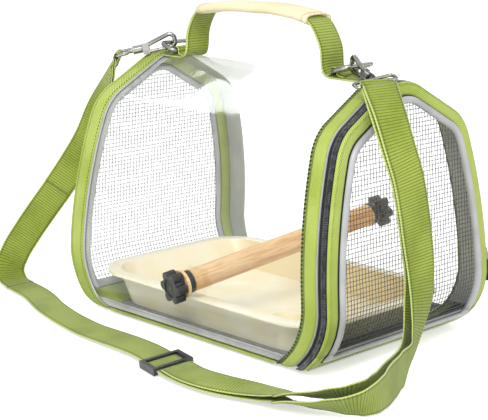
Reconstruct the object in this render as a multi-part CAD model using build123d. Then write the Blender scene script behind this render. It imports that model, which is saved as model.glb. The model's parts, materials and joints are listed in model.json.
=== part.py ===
from build123d import *

import math
import os

# Bird travel carrier, in millimetres. The origin is the middle of the clear tunnel, on the surface
# that the base rests on. +X runs to the mesh door, -Y is the front, +Z is up.

# ---- Body: one arched outline in the cross-section, and one leaning, tucked-in curve at each end
HALF_WIDTH = 105.5  # half of the widest part of the body
WIDEST_HEIGHT = 57.0  # height at which the sides are upright
BODY_HEIGHT = 239.0  # crown of the clear wrap
BASE_CORNER = 14.0
LEAST_CORNER = 3.0  # corner radius of the innermost rings
SHOULDER_RADIUS = 42.0
CROWN_RADIUS = 45.0
SIDE_LEAN = 18.0  # degrees by which the side leans in where the shoulder begins
ROOF_ANGLE = 61.0  # degrees from level of the roof's outward normal
END_CORNER = 62.0  # radius by which each end tucks in above the floor
END_LEAN = 4.8  # degrees by which each end leans in
TUCK_HEIGHT = 64.0  # height at which the tuck ends

# ---- Fabric layers
BAND_THICKNESS = 2.2
WRAP_THICKNESS = 0.6
TAPE_THICKNESS = 1.2
LINING_THICKNESS = 1.0
BINDING_THICKNESS = 1.2
NET_THICKNESS = 1.6
LAYER_GAP = 0.2

# ---- Right end, from the clear wrap to the door; places along X at the tuck height
RIGHT_SEAM = 143.0
SEAM_CORD_WIDTH = 4.4
GUSSET_WIDTH = 13.0
ZIP_GAP = 5.0
COIL_WIDTH = 7.0
COIL_THICKNESS = 1.8
DOOR_CLEARANCE = 0.4
DOOR_BAND_DEPTH = 3.0
DOOR_BAND_REACH = 10.5  # how far the door's green band runs in from the outline
DOOR_BAND_PROUD = 1.4
PIPING_SIZE = 6.4
HINGE_HEIGHT = 22.0
DOOR_FOOT_DEPTH = 162.1  # place along X up to which the door band's foot is cut back
DOOR_FOOT_HEIGHT = 24.0
SILL_GAP = 0.5

# ---- Left end
LEFT_SEAM = -143.0
SEAM_PIPING_WIDTH = 2.4
LEFT_GUSSET_WIDTH = 16.0
LEFT_BAND_DEPTH = 2.6
LEFT_BAND_REACH = 13.0

# ---- Nets
NET_PITCH = 11.0
NET_HOLE = 8.0
NET_MARGIN = 6.0

# ---- Base, hem bindings and base piping
COVER_HEIGHT = 4.2
COVER_HALF_WIDTH = 97.6
BOARD_THICKNESS = 3.0
BOARD_LENGTH = 240.0
BOARD_WIDTH = 188.0
BOARD_CORNER = 16.0
BOARD_CENTRE_X = 5.0
PIPING_TOP = 5.0
HEM_BOTTOM = 6.2
HEM_TOP = 15.0

# ---- Tray
TRAY_FOOT_LENGTH = 236.0
TRAY_FOOT_WIDTH = 166.0
TRAY_RIM_LENGTH = 292.0
TRAY_RIM_WIDTH = 194.0
TRAY_RIM_HEIGHT = 31.0
TRAY_WALL = 2.4
TRAY_RIM_BREADTH = 9.0
TRAY_RIM_THICKNESS = 3.0
TRAY_FOOT_CORNER = 26.0
TRAY_RIM_CORNER = 36.0
CUP_RADIUS = 15.5
CUP_DEPTH = 15.0
CUP_WALL = 2.2
CUP_X = 84.0
CUP_Y = -63.0
CUP_HEIGHT = 23.0

# ---- Perch: a dowel between a hole in the front panel and one in the back panel
FRONT_HOLE_X = 2.0
FRONT_HOLE_Z = 54.0
BACK_HOLE_X = 37.0
BACK_HOLE_Z = 88.0
DOWEL_DIAMETER = 20.4
BUSH_DIAMETER = 21.0
BUSH_HALF_LENGTH = 3.4
BUSH_CLEARANCE = 0.3
WASHER_DIAMETER = 26.0
WASHER_THICKNESS = 3.0
STUD_DIAMETER = 6.0
STUD_CLEARANCE = 0.2
STUD_INSET = 18.0
STUD_REACH = 11.0
KNOB_CORE_RADIUS = 11.0
KNOB_LOBE_RADIUS = 4.3
KNOB_LOBE_CIRCLE = 11.0
KNOB_LOBES = 6
KNOB_THICKNESS = 10.0
KNOB_HUB_RADIUS = 8.5
KNOB_HUB_LENGTH = 1.8
KNOB_FACE_RADIUS = 8.4
KNOB_FACE_DEPTH = 1.2
KNOB_CLEARANCE = 0.3

# ---- Handle and its anchors on the crown
WEBBING_WIDTH = 30.0
WEBBING_THICKNESS = 2.0
HANDLE_PIVOT_ABOVE_CROWN = 16.0
HANDLE_LEFT = -97.0  # outer face of the left leg at its pivot
HANDLE_RIGHT = 79.0  # outer face of the right leg at its pivot
HANDLE_STRAIGHT = 7.0  # upright length above each pivot
HANDLE_ARCH = [(-84.0, 286.5), (-46.0, 291.5), (20.0, 292.5), (63.0, 287.5)]  # (x, z) on top
HANDLE_BEND = 12.0
GRIP_START = -80.0  # places along X at which the sleeve begins and ends
GRIP_END = 61.0
GRIP_THICKNESS = 9.0
GRIP_WIDTH = 34.0
GRIP_SLOT_GAP = 0.2
LAP_GAP = 0.3
RING_FROM_LEG = 14.0

# ---- Rings
RING_WIRE = 4.0
RING_BAR = 35.0
RING_DEPTH = 19.0
RING_CORNER = 6.0
RING_RISE = 17.0  # degrees by which a ring tips up from level
RING_CLEARANCE = 0.2
KEEPER_WALL = 2.0

# ---- Snap hooks
HOOK_WIRE = 4.4
HOOK_LENGTH = 42.0
HOOK_HIGH = 9.2  # spine above the hook's axis at the bow
HOOK_LOW = 4.6  # nose and gate below the hook's axis
HOOK_BOW = 5.0
NOSE_LENGTH = 11.5
LEFT_HOOK_REST = 2.8  # play between a ring and the inside of its hook's bow
RIGHT_HOOK_REST = 1.6
SWIVEL_DIAMETER = 8.4
SWIVEL_LENGTH = 9.0
SWIVEL_CLEARANCE = 0.3
SWIVEL_WALL = 1.6
GATE_WIRE = 3.2
GATE_CLEARANCE = 0.4
CHEEK_THICKNESS = 1.2
GATE_FROM_BARREL = 4.2
PIN_DIAMETER = 2.0
LOOP_WIRE = 3.0
LOOP_WIDTH = 36.0
LOOP_DEPTH = 11.0
LOOP_CORNER = 3.4
LOOP_NECK = 4.0  # from the swivel barrel to the loop's near side
HOOK_SIDE = -8.0  # where along a ring's bar its hook sits
LEFT_HOOK_RUN = (-0.71, -0.66, -0.23)  # from the ring towards the swivel
RIGHT_HOOK_RUN = (0.89, -0.44, -0.15)
LEFT_LOOP_ROLL = 0.0  # degrees by which a wire loop is turned in its swivel
RIGHT_LOOP_ROLL = -11.0

# ---- Shoulder strap
STRAP_THICKNESS = 1.6
STRAP_LAYER = 2.2  # from the middle of one sewn layer to the middle of the other
BUCKLE_PLACE = 0.5  # share of the straight run at which the buckle's middle lies
BUCKLE_LENGTH = 26.0
BUCKLE_RAIL = 4.0
BUCKLE_BAR = 4.0
BUCKLE_DEPTH = 2.0
BUCKLE_CLEARANCE = 0.4

# ---- Zipper slider and pull
SLIDER_HEIGHT_ABOVE_FLOOR = 72.0
SLIDER_LENGTH = 12.0
SLIDER_WIDTH = 8.0
SLIDER_THICKNESS = 3.0
SLIDER_CLEARANCE = 0.7
PULL_LENGTH = 26.0
PULL_WIDTH = 7.0
PULL_THICKNESS = 1.6
EYE_RADIUS = 2.6

# The strap's route from its left hook to the right one, as (x, y, z, width direction)
STRAP_ROUTE = [
    (-165.5, -41.6, 235.8, (0.68, -0.73, 0.00)),
    (-175.0, -48.1, 204.2, (0.93, -0.30, -0.22)),
    (-184.0, -52.1, 181.8, (0.93, 0.05, -0.36)),
    (-193.4, -56.0, 156.0, (0.82, 0.35, -0.44)),
    (-211.9, -67.2, 120.5, (0.72, 0.50, -0.47)),
    (-223.0, -74.4, 101.4, (0.66, 0.57, -0.48)),
    (-238.8, -85.2, 75.2, (0.65, 0.58, -0.48)),
    (-252.2, -94.3, 52.0, (0.65, 0.58, -0.48)),
    (-262.5, -101.8, 31.2, (0.62, 0.65, -0.44)),
    (-265.5, -107.0, 15.5, (0.54, 0.78, -0.30)),
    (-257.0, -110.5, 6.5, (0.44, 0.89, -0.08)),
    (-240.0, -113.0, 3.2, (0.38, 0.92, 0.04)),
    (-210.5, -117.5, 2.4, (0.34, 0.94, 0.04)),
    (-155.0, -137.6, 2.2, (0.28, 0.96, 0.04)),
    (-102.0, -151.0, 2.6, (0.20, 0.98, 0.06)),
    (-71.0, -156.5, 3.4, (0.12, 0.99, 0.09)),
    (-42.0, -158.5, 4.4, (0.08, 0.99, 0.11)),
    (-18.0, -160.0, 5.2, (0.14, 0.98, 0.11)),
    (8.0, -162.5, 5.7, (0.22, 0.97, 0.10)),
    (88.0, -181.0, 5.7, (0.20, 0.97, 0.10)),
    (122.0, -179.5, 5.6, (-0.20, 0.97, 0.10)),
    (148.5, -171.3, 4.6, (-0.44, 0.90, 0.03)),
    (167.0, -167.5, 4.2, (-0.54, 0.83, -0.10)),
    (184.0, -168.0, 5.2, (-0.59, 0.76, -0.25)),
    (201.0, -168.1, 7.9, (-0.62, 0.66, -0.42)),
    (220.0, -161.4, 9.8, (-0.56, 0.62, -0.55)),
    (235.9, -155.5, 12.2, (-0.45, 0.52, -0.73)),
    (244.8, -146.6, 14.5, (-0.31, 0.47, -0.83)),
    (247.2, -133.6, 16.1, (-0.18, 0.45, -0.87)),
    (243.5, -117.0, 16.2, (-0.16, 0.52, -0.84)),
    (235.3, -97.7, 17.2, (-0.18, 0.63, -0.76)),
    (222.2, -71.2, 16.2, (-0.30, 0.65, -0.70)),
    (208.5, -46.0, 16.0, (-0.40, 0.74, -0.54)),
    (204.5, -34.0, 23.6, (-0.46, 0.82, -0.34)),
    (202.5, -27.0, 36.0, (-0.34, 0.90, -0.22)),
    (201.0, -20.5, 60.0, (-0.05, 0.99, -0.06)),
    (199.2, -19.5, 86.3, (0.16, 0.98, 0.00)),
    (197.8, -23.0, 112.8, (0.26, 0.96, 0.02)),
    (197.4, -28.8, 140.7, (0.28, 0.96, 0.04)),
    (196.0, -35.6, 169.5, (0.28, 0.95, 0.10)),
    (191.4, -42.0, 194.5, (0.30, 0.95, 0.10)),
    (182.2, -42.4, 217.5, (0.34, 0.93, 0.10)),
    (161.0, -33.2, 242.4, (0.43, 0.89, 0.17)),
]
LAP_END = 6  # the sewn lap below the left hook ends at this station
FRONT_START = 11  # the front run goes from this station to the next one named
STRAIGHT_RUN = 18  # the straight stretch begins here
FRONT_END = 21
LOOP_END = 31  # the two layers stand apart up to here

# The return layer: how far it stands from the layer under it, from the straight run onwards
RETURN_START = 0.72  # share of the straight stretch at which the return layer comes into view
RETURN_GAPS = [2.4, 2.6, 3.0, 3.6, 4.6, 6.0, 7.5, 9.0, 10.0, 10.5, 10.0, 9.0, 7.5]
RETURN_ROUTE = [
    (200.5, -39.0, 22.0, (-0.30, 0.83, -0.46)),
    (196.6, -28.0, 34.0, (-0.18, 0.94, -0.25)),
    (194.6, -19.5, 58.7, (0.08, 0.99, -0.05)),
    (194.2, -17.6, 86.3, (0.20, 0.98, 0.00)),
    (194.2, -22.2, 112.8, (0.28, 0.96, 0.02)),
    (193.9, -28.1, 140.7, (0.28, 0.96, 0.04)),
    (192.6, -35.2, 168.9, (0.28, 0.95, 0.10)),
    (188.0, -41.8, 193.0, (0.30, 0.95, 0.10)),
    (178.6, -42.2, 215.0, (0.34, 0.93, 0.08)),
    (159.1, -31.8, 238.8, (0.43, 0.88, 0.19)),
]

FAR = 320.0  # half length of the stock that walls are cut from

# Places that follow from the sizes above
gusset_start = RIGHT_SEAM + SEAM_CORD_WIDTH
gusset_end = gusset_start + GUSSET_WIDTH
coil_start = gusset_end + ZIP_GAP
coil_end = coil_start + COIL_WIDTH
door_start = coil_end + DOOR_CLEARANCE
door_end = door_start + DOOR_BAND_DEPTH
left_gusset_start = LEFT_SEAM - SEAM_PIPING_WIDTH
left_gusset_end = left_gusset_start - LEFT_GUSSET_WIDTH
left_band_end = left_gusset_end - LEFT_BAND_DEPTH
board_bottom = COVER_HEIGHT + LAYER_GAP
board_top = board_bottom + BOARD_THICKNESS
lining_bottom = board_top + LAYER_GAP
piping_inner = DOOR_BAND_REACH + PIPING_SIZE


# ---- Shared outline and end curves
def outline_sizes():
    """Radius of the bowed side and length of the straight roof that close the outline."""
    a1 = math.radians(SIDE_LEAN)
    a2 = math.radians(ROOF_ANGLE)
    across = (HALF_WIDTH - SHOULDER_RADIUS * (math.cos(a1) - math.cos(a2))
              - CROWN_RADIUS * math.cos(a2))
    upward = (BODY_HEIGHT - CROWN_RADIUS * (1 - math.sin(a2)) - WIDEST_HEIGHT
              - SHOULDER_RADIUS * (math.sin(a2) - math.sin(a1)))
    # across = bow * (1 - cos a1) + roof * sin a2, upward = bow * sin a1 + roof * cos a2
    share = math.cos(a2) / math.sin(a2)
    bow = (upward - across * share) / (math.sin(a1) - (1 - math.cos(a1)) * share)
    roof = (across - bow * (1 - math.cos(a1))) / math.sin(a2)
    return bow, roof


def half_outline(grow):
    """Edges of the +Y half of the outline, grown outwards by grow, from the bottom to the crown."""
    bow, roof = outline_sizes()
    a1 = math.radians(SIDE_LEAN)
    round_size = max(BASE_CORNER + grow, LEAST_CORNER)
    corner = (HALF_WIDTH + grow - round_size, BAND_THICKNESS - grow + round_size)
    bow_centre = (HALF_WIDTH - bow, WIDEST_HEIGHT)
    shoulder = (bow_centre[0] + (bow - SHOULDER_RADIUS) * math.cos(a1),
                bow_centre[1] + (bow - SHOULDER_RADIUS) * math.sin(a1))
    crown = (0.0, BODY_HEIGHT - CROWN_RADIUS)
    foot = CenterArc(corner, round_size, -90, 90)
    side = CenterArc(bow_centre, bow + grow, 0, SIDE_LEAN)
    turn = CenterArc(shoulder, SHOULDER_RADIUS + grow, SIDE_LEAN, ROOF_ANGLE - SIDE_LEAN)
    top = CenterArc(crown, CROWN_RADIUS + grow, ROOF_ANGLE, 90 - ROOF_ANGLE)
    return [
        Line((0, BAND_THICKNESS - grow), foot @ 0),
        foot,
        Line(foot @ 1, side @ 0),
        side,
        turn,
        Line(turn @ 1, top @ 0),
        top,
    ]


def outline_face(grow):
    """The outline as a flat face in the drawing plane, Y across and Z up."""
    half = half_outline(grow)
    other = [mirror(edge, about=Plane.YZ) for edge in half]
    return make_face(Curve() + half + other)


def body_block(grow):
    """Everything inside the outline grown by grow, along the whole of X."""
    return extrude(Plane.YZ * outline_face(grow), amount=FAR, both=True)


def wall(inner, outer):
    """The tube between two growths of the outline."""
    return body_block(outer) - body_block(inner)


def end_edges(x, side):
    """Edges of an end curve that passes x at the tuck height, from below the floor to the top."""
    lean = math.radians(END_LEAN)
    centre_x = x - side * END_CORNER * math.cos(lean)
    centre_z = TUCK_HEIGHT - END_CORNER * math.sin(lean)
    low = -math.asin(min(1.0, centre_z / END_CORNER))
    foot = (centre_x + side * END_CORNER * math.cos(low), centre_z + END_CORNER * math.sin(low))
    middle = (low + lean) / 2
    bend = (centre_x + side * END_CORNER * math.cos(middle),
            centre_z + END_CORNER * math.sin(middle))
    knee = (x, TUCK_HEIGHT)
    top = (x - side * (FAR - TUCK_HEIGHT) * math.tan(lean), FAR)
    return [Line((foot[0], -BASE_CORNER), foot), ThreePointArc(foot, bend, knee), Line(knee, top)]


def end_place(x, side, height):
    """Where the end curve that passes x at the tuck height stands at another height."""
    lean = math.radians(END_LEAN)
    if height >= TUCK_HEIGHT:
        return x - side * (height - TUCK_HEIGHT) * math.tan(lean)
    centre_z = TUCK_HEIGHT - END_CORNER * math.sin(lean)
    reach = math.sqrt(END_CORNER ** 2 - (centre_z - height) ** 2)
    return x + side * (reach - END_CORNER * math.cos(lean))


def between(start, start_side, end, end_side):
    """Block between two end curves, through the whole width."""
    first = end_edges(start, start_side)
    last = end_edges(end, end_side)
    edges = first + last + [Line(first[0] @ 0, last[0] @ 0), Line(first[2] @ 1, last[2] @ 1)]
    return extrude(Plane.XZ * make_face(edges), amount=FAR, both=True)


def heights(bottom, top):
    """Slab between two heights."""
    return Pos(0, 0, (bottom + top) / 2) * Box(2 * FAR, 2 * FAR, top - bottom)


def sides(near, far, side):
    """Slab between two distances from the middle plane, on the front (-1) or the back (1)."""
    return Pos(0, side * (near + far) / 2, FAR) * Box(2 * FAR, far - near, 2 * FAR + 40)


# ---- Clear wrap, base and hems
def perch_frame():
    """Plane at the front hole whose normal runs along the perch, and the length between holes."""
    front = Vector(FRONT_HOLE_X, -panel_place(FRONT_HOLE_Z), FRONT_HOLE_Z)
    back = Vector(BACK_HOLE_X, panel_place(BACK_HOLE_Z), BACK_HOLE_Z)
    along = back - front
    return Plane(origin=front, x_dir=(1, 0, 0), z_dir=along.normalized()), along.length


def panel_place(height):
    """Half width of the outline at a height between the base corner and the shoulder."""
    if height < WIDEST_HEIGHT:
        return HALF_WIDTH
    bow, _ = outline_sizes()
    return HALF_WIDTH - bow + math.sqrt(bow ** 2 - (height - WIDEST_HEIGHT) ** 2)


def perch_rod(diameter, start, end):
    """Round rod on the perch axis between two distances from the front hole."""
    frame, _ = perch_frame()
    rod = Pos(0, 0, (start + end) / 2) * Cylinder(diameter / 2, end - start)
    return frame * rod


def clear_wrap():
    """Clear sheet that is the front, the top and the back, with a hole at each end of the perch."""
    sheet = wall(-WRAP_THICKNESS, 0) & between(left_gusset_start - 6, -1, gusset_start + 6, 1)
    sheet = sheet & heights(PIPING_TOP, FAR)
    _, length = perch_frame()
    hole = BUSH_DIAMETER + 2 * BUSH_CLEARANCE
    reach = BUSH_HALF_LENGTH + WASHER_THICKNESS
    sheet -= perch_rod(hole, -reach, reach)
    sheet -= perch_rod(hole, length - reach, length + reach)
    return sheet


def base_cover():
    """Padded fabric bottom between the two seams."""
    block = body_block(BAND_THICKNESS) & between(LEFT_SEAM + 1, -1, RIGHT_SEAM - 1, 1)
    block = block & heights(0, COVER_HEIGHT)
    return block & (Pos(0, 0, 0) * Box(2 * FAR, 2 * COVER_HALF_WIDTH, FAR))


def base_board():
    """Stiff board that carries the tray."""
    board = extrude(RectangleRounded(BOARD_LENGTH, BOARD_WIDTH, BOARD_CORNER), BOARD_THICKNESS)
    return Pos(BOARD_CENTRE_X, 0, board_bottom) * board


def hem_binding(side):
    """Bound lower edge of the clear panel."""
    strip = wall(LAYER_GAP, BINDING_THICKNESS) & between(LEFT_SEAM + 0.6, -1, RIGHT_SEAM - 0.6, 1)
    return strip & heights(HEM_BOTTOM, HEM_TOP) & sides(HALF_WIDTH / 2, FAR / 2, side)


def base_piping(side):
    """Green piping along the lower edge."""
    strip = wall(0, BAND_THICKNESS) & between(LEFT_SEAM + 0.6, -1, RIGHT_SEAM - 0.6, 1)
    strip = strip & heights(0, PIPING_TOP - 0.3)
    return strip & sides(COVER_HALF_WIDTH + 0.3, FAR / 2, side)


# ---- Left end
def left_seam_piping():
    return wall(0, BINDING_THICKNESS) & between(left_gusset_start, -1, LEFT_SEAM, -1)


def left_gusset_band():
    return wall(0, BAND_THICKNESS) & between(left_gusset_end, -1, left_gusset_start, -1)


def left_end_band():
    """Green band on the end face that joins the gusset to the net."""
    ring = wall(-LEFT_BAND_REACH, BAND_THICKNESS)
    return ring & between(left_band_end, -1, left_gusset_end, -1)


def left_rim_piping():
    """Grey piping round the fixed net."""
    ring = wall(-LEFT_BAND_REACH - PIPING_SIZE, -LEFT_BAND_REACH)
    return ring & between(left_band_end - 1.6, -1, left_gusset_end + 1.6, -1)


def left_inner_lining():
    """Grey binding inside the left gusset."""
    ring = wall(-2 * WRAP_THICKNESS - LINING_THICKNESS, -2 * WRAP_THICKNESS)
    return ring & between(left_gusset_end + 2, -1, LEFT_SEAM + 6, -1) & heights(lining_bottom, FAR)


# ---- Right end, fixed
def right_seam_cord():
    return wall(0, BAND_THICKNESS) & between(RIGHT_SEAM, 1, gusset_start, 1)


def right_gusset_band():
    return wall(0, BAND_THICKNESS) & between(gusset_start, 1, gusset_end, 1)


def zipper_tape():
    ring = wall(-WRAP_THICKNESS - TAPE_THICKNESS, -WRAP_THICKNESS - LAYER_GAP)
    return ring & between(gusset_start + 7, 1, coil_end, 1)


def zipper_coil():
    ring = wall(-LAYER_GAP * 2, COIL_THICKNESS)
    return ring & between(coil_start, 1, coil_end, 1)


def right_inner_lining():
    """Grey lining inside the right gusset."""
    outer = -WRAP_THICKNESS - TAPE_THICKNESS - LAYER_GAP
    ring = wall(outer - LINING_THICKNESS, outer)
    return ring & between(gusset_start, 1, coil_end, 1) & heights(lining_bottom, FAR)


# ---- Door and the sill below it
def end_band():
    ring = wall(-DOOR_BAND_REACH, DOOR_BAND_PROUD)
    return ring & between(door_start, 1, door_end, 1)


def end_piping():
    ring = wall(-piping_inner, -DOOR_BAND_REACH)
    return ring & between(door_start, 1, door_start + PIPING_SIZE, 1)


def net_sheet(x, side, inset, bottom):
    """Holed sheet on an end curve; the holes keep a margin inside the sheet's edge."""
    panel = Plane.YZ * outline_face(-inset)
    solid_part = outline_face(-inset - NET_MARGIN)
    rows = int(BODY_HEIGHT / NET_PITCH)
    columns = int(HALF_WIDTH / NET_PITCH)
    cells = []
    for row in range(rows):
        z = bottom + NET_MARGIN + (row + 0.5) * NET_PITCH
        for column in range(-columns, columns + 1):
            cell = Pos(column * NET_PITCH, z) * Rectangle(NET_HOLE, NET_HOLE)
            if all(solid_part.faces()[0].is_inside(corner) for corner in cell.vertices()):
                cells.append(cell)
    sheet = extrude(panel, amount=FAR, both=True)
    sheet = sheet & between(x, side, x + NET_THICKNESS, side)
    holes = [extrude(Plane.YZ * cell, amount=side * FAR) for cell in cells]
    return (sheet & heights(bottom, FAR)) - holes


def door_part(shape):
    """The part of an end ring that swings with the door."""
    return shape & heights(HINGE_HEIGHT + SILL_GAP, FAR)


def cleared_foot(shape):
    """The shape with its lower inside edge cut back, so that it clears the coil as the door swings."""
    corner = Pos(DOOR_FOOT_DEPTH / 2, 0, DOOR_FOOT_HEIGHT / 2)
    return shape - corner * Box(DOOR_FOOT_DEPTH, 3 * HALF_WIDTH, DOOR_FOOT_HEIGHT)


def sill_part(shape):
    """The part of an end ring that stays under the door."""
    return shape & heights(0, HINGE_HEIGHT)


def sill_panel():
    """Closed fabric strip under the door's net."""
    strip = body_block(-piping_inner) & between(door_start, 1, door_start + NET_THICKNESS, 1)
    return strip & heights(0, HINGE_HEIGHT)


# ---- Tray
def rounded_slab(length, width, corner, height):
    return Pos(0, 0, height) * RectangleRounded(length, width, corner)


def tray_bowl(shrink, bottom, top):
    """Tapered block with rounded corners, shrunk all round."""
    foot = rounded_slab(TRAY_FOOT_LENGTH - 2 * shrink, TRAY_FOOT_WIDTH - 2 * shrink,
                        TRAY_FOOT_CORNER - shrink, bottom)
    length = TRAY_RIM_LENGTH - 2 * TRAY_RIM_BREADTH
    width = TRAY_RIM_WIDTH - 2 * TRAY_RIM_BREADTH
    mouth = rounded_slab(length - 2 * shrink, width - 2 * shrink, TRAY_RIM_CORNER - shrink, top)
    return loft([foot, mouth], ruled=True)


def tray():
    """Shallow tray with a broad rim and a round feeding cup in one corner."""
    bottom = board_top + LAYER_GAP
    rim = bottom + TRAY_RIM_HEIGHT
    flange_outline = RectangleRounded(TRAY_RIM_LENGTH, TRAY_RIM_WIDTH, TRAY_RIM_CORNER + 6)
    flange = Pos(0, 0, rim - TRAY_RIM_THICKNESS) * extrude(flange_outline, TRAY_RIM_THICKNESS)
    body = tray_bowl(0, bottom, rim) + flange
    body -= tray_bowl(TRAY_WALL, bottom + TRAY_WALL, rim + 0.01)
    cup_floor = bottom + CUP_HEIGHT - CUP_DEPTH
    pillar = Cylinder(CUP_RADIUS + CUP_WALL, CUP_HEIGHT - TRAY_WALL)
    body += Pos(CUP_X, CUP_Y, bottom + (CUP_HEIGHT + TRAY_WALL) / 2) * pillar
    cup = Cylinder(CUP_RADIUS, CUP_DEPTH + 1)
    return body - Pos(CUP_X, CUP_Y, cup_floor + (CUP_DEPTH + 1) / 2) * cup


# ---- Perch
def perch_dowel():
    _, length = perch_frame()
    rod = perch_rod(DOWEL_DIAMETER, BUSH_HALF_LENGTH, length - BUSH_HALF_LENGTH)
    rod -= perch_rod(STUD_DIAMETER, 0, BUSH_HALF_LENGTH + STUD_INSET)
    return rod - perch_rod(STUD_DIAMETER, length - BUSH_HALF_LENGTH - STUD_INSET, length)


def perch_ends():
    """Planes at the front and back holes whose normals point outwards along the perch."""
    frame, length = perch_frame()
    front = Plane(origin=frame.origin, x_dir=frame.x_dir, z_dir=-frame.z_dir)
    back = Plane(origin=frame.origin + frame.z_dir * length, x_dir=frame.x_dir, z_dir=frame.z_dir)
    return front, back


def bush():
    body = Cylinder(BUSH_DIAMETER / 2, 2 * BUSH_HALF_LENGTH)
    return body - Cylinder(STUD_DIAMETER / 2 + STUD_CLEARANCE, 4 * BUSH_HALF_LENGTH)


def washer():
    disc = Cylinder(WASHER_DIAMETER / 2, WASHER_THICKNESS)
    disc -= Cylinder(STUD_DIAMETER / 2 + STUD_CLEARANCE, 2 * WASHER_THICKNESS)
    return Pos(0, 0, BUSH_HALF_LENGTH + WASHER_THICKNESS / 2) * disc


def stud(spacer):
    inner = -BUSH_HALF_LENGTH - STUD_INSET
    outer = BUSH_HALF_LENGTH + spacer + STUD_REACH
    return Pos(0, 0, (inner + outer) / 2) * Cylinder(STUD_DIAMETER / 2, outer - inner)


def knob(spacer):
    """Star knob with a hub, lobes, a recessed face and a blind hole for the stud."""
    seat = BUSH_HALF_LENGTH + spacer + KNOB_CLEARANCE
    star = Circle(KNOB_CORE_RADIUS)
    star += PolarLocations(KNOB_LOBE_CIRCLE, KNOB_LOBES) * Circle(KNOB_LOBE_RADIUS)
    hub = Pos(0, 0, seat + KNOB_HUB_LENGTH / 2) * Cylinder(KNOB_HUB_RADIUS, KNOB_HUB_LENGTH)
    body = hub + Pos(0, 0, seat + KNOB_HUB_LENGTH) * extrude(star, KNOB_THICKNESS)
    top = seat + KNOB_HUB_LENGTH + KNOB_THICKNESS
    body -= Pos(0, 0, top - KNOB_FACE_DEPTH / 2) * Cylinder(KNOB_FACE_RADIUS, KNOB_FACE_DEPTH)
    depth = STUD_REACH + 0.6
    bore = Cylinder(STUD_DIAMETER / 2 + STUD_CLEARANCE, depth)
    return body - Pos(0, 0, seat + depth / 2 - KNOB_CLEARANCE) * bore


# ---- Handle, anchors and rings
def handle_legs():
    """Outer faces of the two legs as (x, outward direction)."""
    return (HANDLE_LEFT, -1), (HANDLE_RIGHT, 1)


def pivot_height():
    return BODY_HEIGHT + HANDLE_PIVOT_ABOVE_CROWN


def handle_path():
    """Outer face of the handle, from the left pivot over the top to the right pivot."""
    pivot = pivot_height()
    knee = pivot + HANDLE_STRAIGHT
    points = [(HANDLE_LEFT, pivot), (HANDLE_LEFT, knee), *HANDLE_ARCH, (HANDLE_RIGHT, knee),
              (HANDLE_RIGHT, pivot)]
    return FilletPolyline(*points, radius=HANDLE_BEND)


def bow_strip(path, outside, inside, width):
    """Strip that follows a path in the XZ plane, between two distances from it."""
    outer = path if outside == 0 else path.offset_2d(outside, side=Side.LEFT, closed=False)
    inner = path.offset_2d(inside, side=Side.RIGHT, closed=False)
    ends = [sorted((wire @ 0, wire @ 1), key=lambda point: point.X) for wire in (outer, inner)]
    edges = outer.edges() + inner.edges() + [Line(a, b) for a, b in zip(*ends)]
    return extrude(Plane.XZ * make_face(edges), amount=width / 2, both=True)


def handle_webbing():
    """Arch of webbing; each leg ends in a round tab about the pivot line."""
    body = bow_strip(handle_path(), 0, WEBBING_THICKNESS, WEBBING_WIDTH)
    for x, outward in handle_legs():
        tab = Rot(0, 90, 0) * Cylinder(WEBBING_WIDTH / 2, WEBBING_THICKNESS)
        body += Pos(x - outward * WEBBING_THICKNESS / 2, 0, pivot_height()) * tab
    return body


def handle_grip():
    """Sleeve round the top of the handle."""
    path = handle_path()
    skin = (GRIP_THICKNESS - WEBBING_THICKNESS) / 2
    sleeve = bow_strip(path, skin, WEBBING_THICKNESS + skin, GRIP_WIDTH)
    middle = (GRIP_START + GRIP_END) / 2
    span = Box(GRIP_END - GRIP_START, 2 * GRIP_WIDTH, 2 * GRIP_WIDTH)
    sleeve = sleeve & (Pos(middle, 0, HANDLE_ARCH[0][1]) * span)
    slot = bow_strip(path, GRIP_SLOT_GAP, WEBBING_THICKNESS + GRIP_SLOT_GAP,
                     WEBBING_WIDTH + 2 * GRIP_SLOT_GAP)
    return sleeve - slot


def ring_bar_place(leg):
    """Middle of the ring's bar: beside the leg, above the crown webbing."""
    x, outward = leg
    z = BODY_HEIGHT + WEBBING_THICKNESS + KEEPER_WALL / 2 + RING_WIRE / 2
    return x + outward * RING_FROM_LEG, z


def handle_anchor(leg):
    """Webbing on the crown with a standing tab at the leg and a keeper round the ring's bar."""
    x, outward = leg
    start = x + outward * LAP_GAP
    far = start + outward * FAR
    strip = wall(0, WEBBING_THICKNESS) & between(LEFT_SEAM + 0.4, -1, RIGHT_SEAM - 0.4, 1)
    strip = strip & (Pos((start + far) / 2, 0, BODY_HEIGHT) * Box(FAR, WEBBING_WIDTH, 40))
    tab = Plane.YZ * Circle(WEBBING_WIDTH / 2)
    tab = Pos(start, 0, pivot_height()) * extrude(tab, amount=outward * WEBBING_THICKNESS)
    post = Box(WEBBING_THICKNESS, WEBBING_WIDTH, HANDLE_PIVOT_ABOVE_CROWN)
    post_x = start + outward * WEBBING_THICKNESS / 2
    post = Pos(post_x, 0, BODY_HEIGHT + HANDLE_PIVOT_ABOVE_CROWN / 2) * post
    bar_x, bar_z = ring_bar_place(leg)
    radius = RING_WIRE / 2 + KEEPER_WALL
    keeper = Pos(bar_x, 0, bar_z) * Rot(90, 0, 0) * Cylinder(radius, WEBBING_WIDTH)
    saddle = Pos(bar_x, 0, bar_z - radius) * Box(2 * radius, WEBBING_WIDTH, 2 * radius)
    body = (strip + tab + post + keeper + saddle) - body_block(0)
    bore = Cylinder(RING_WIRE / 2 + RING_CLEARANCE, 2 * WEBBING_WIDTH)
    return body - Pos(bar_x, 0, bar_z) * Rot(90, 0, 0) * bore


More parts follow.
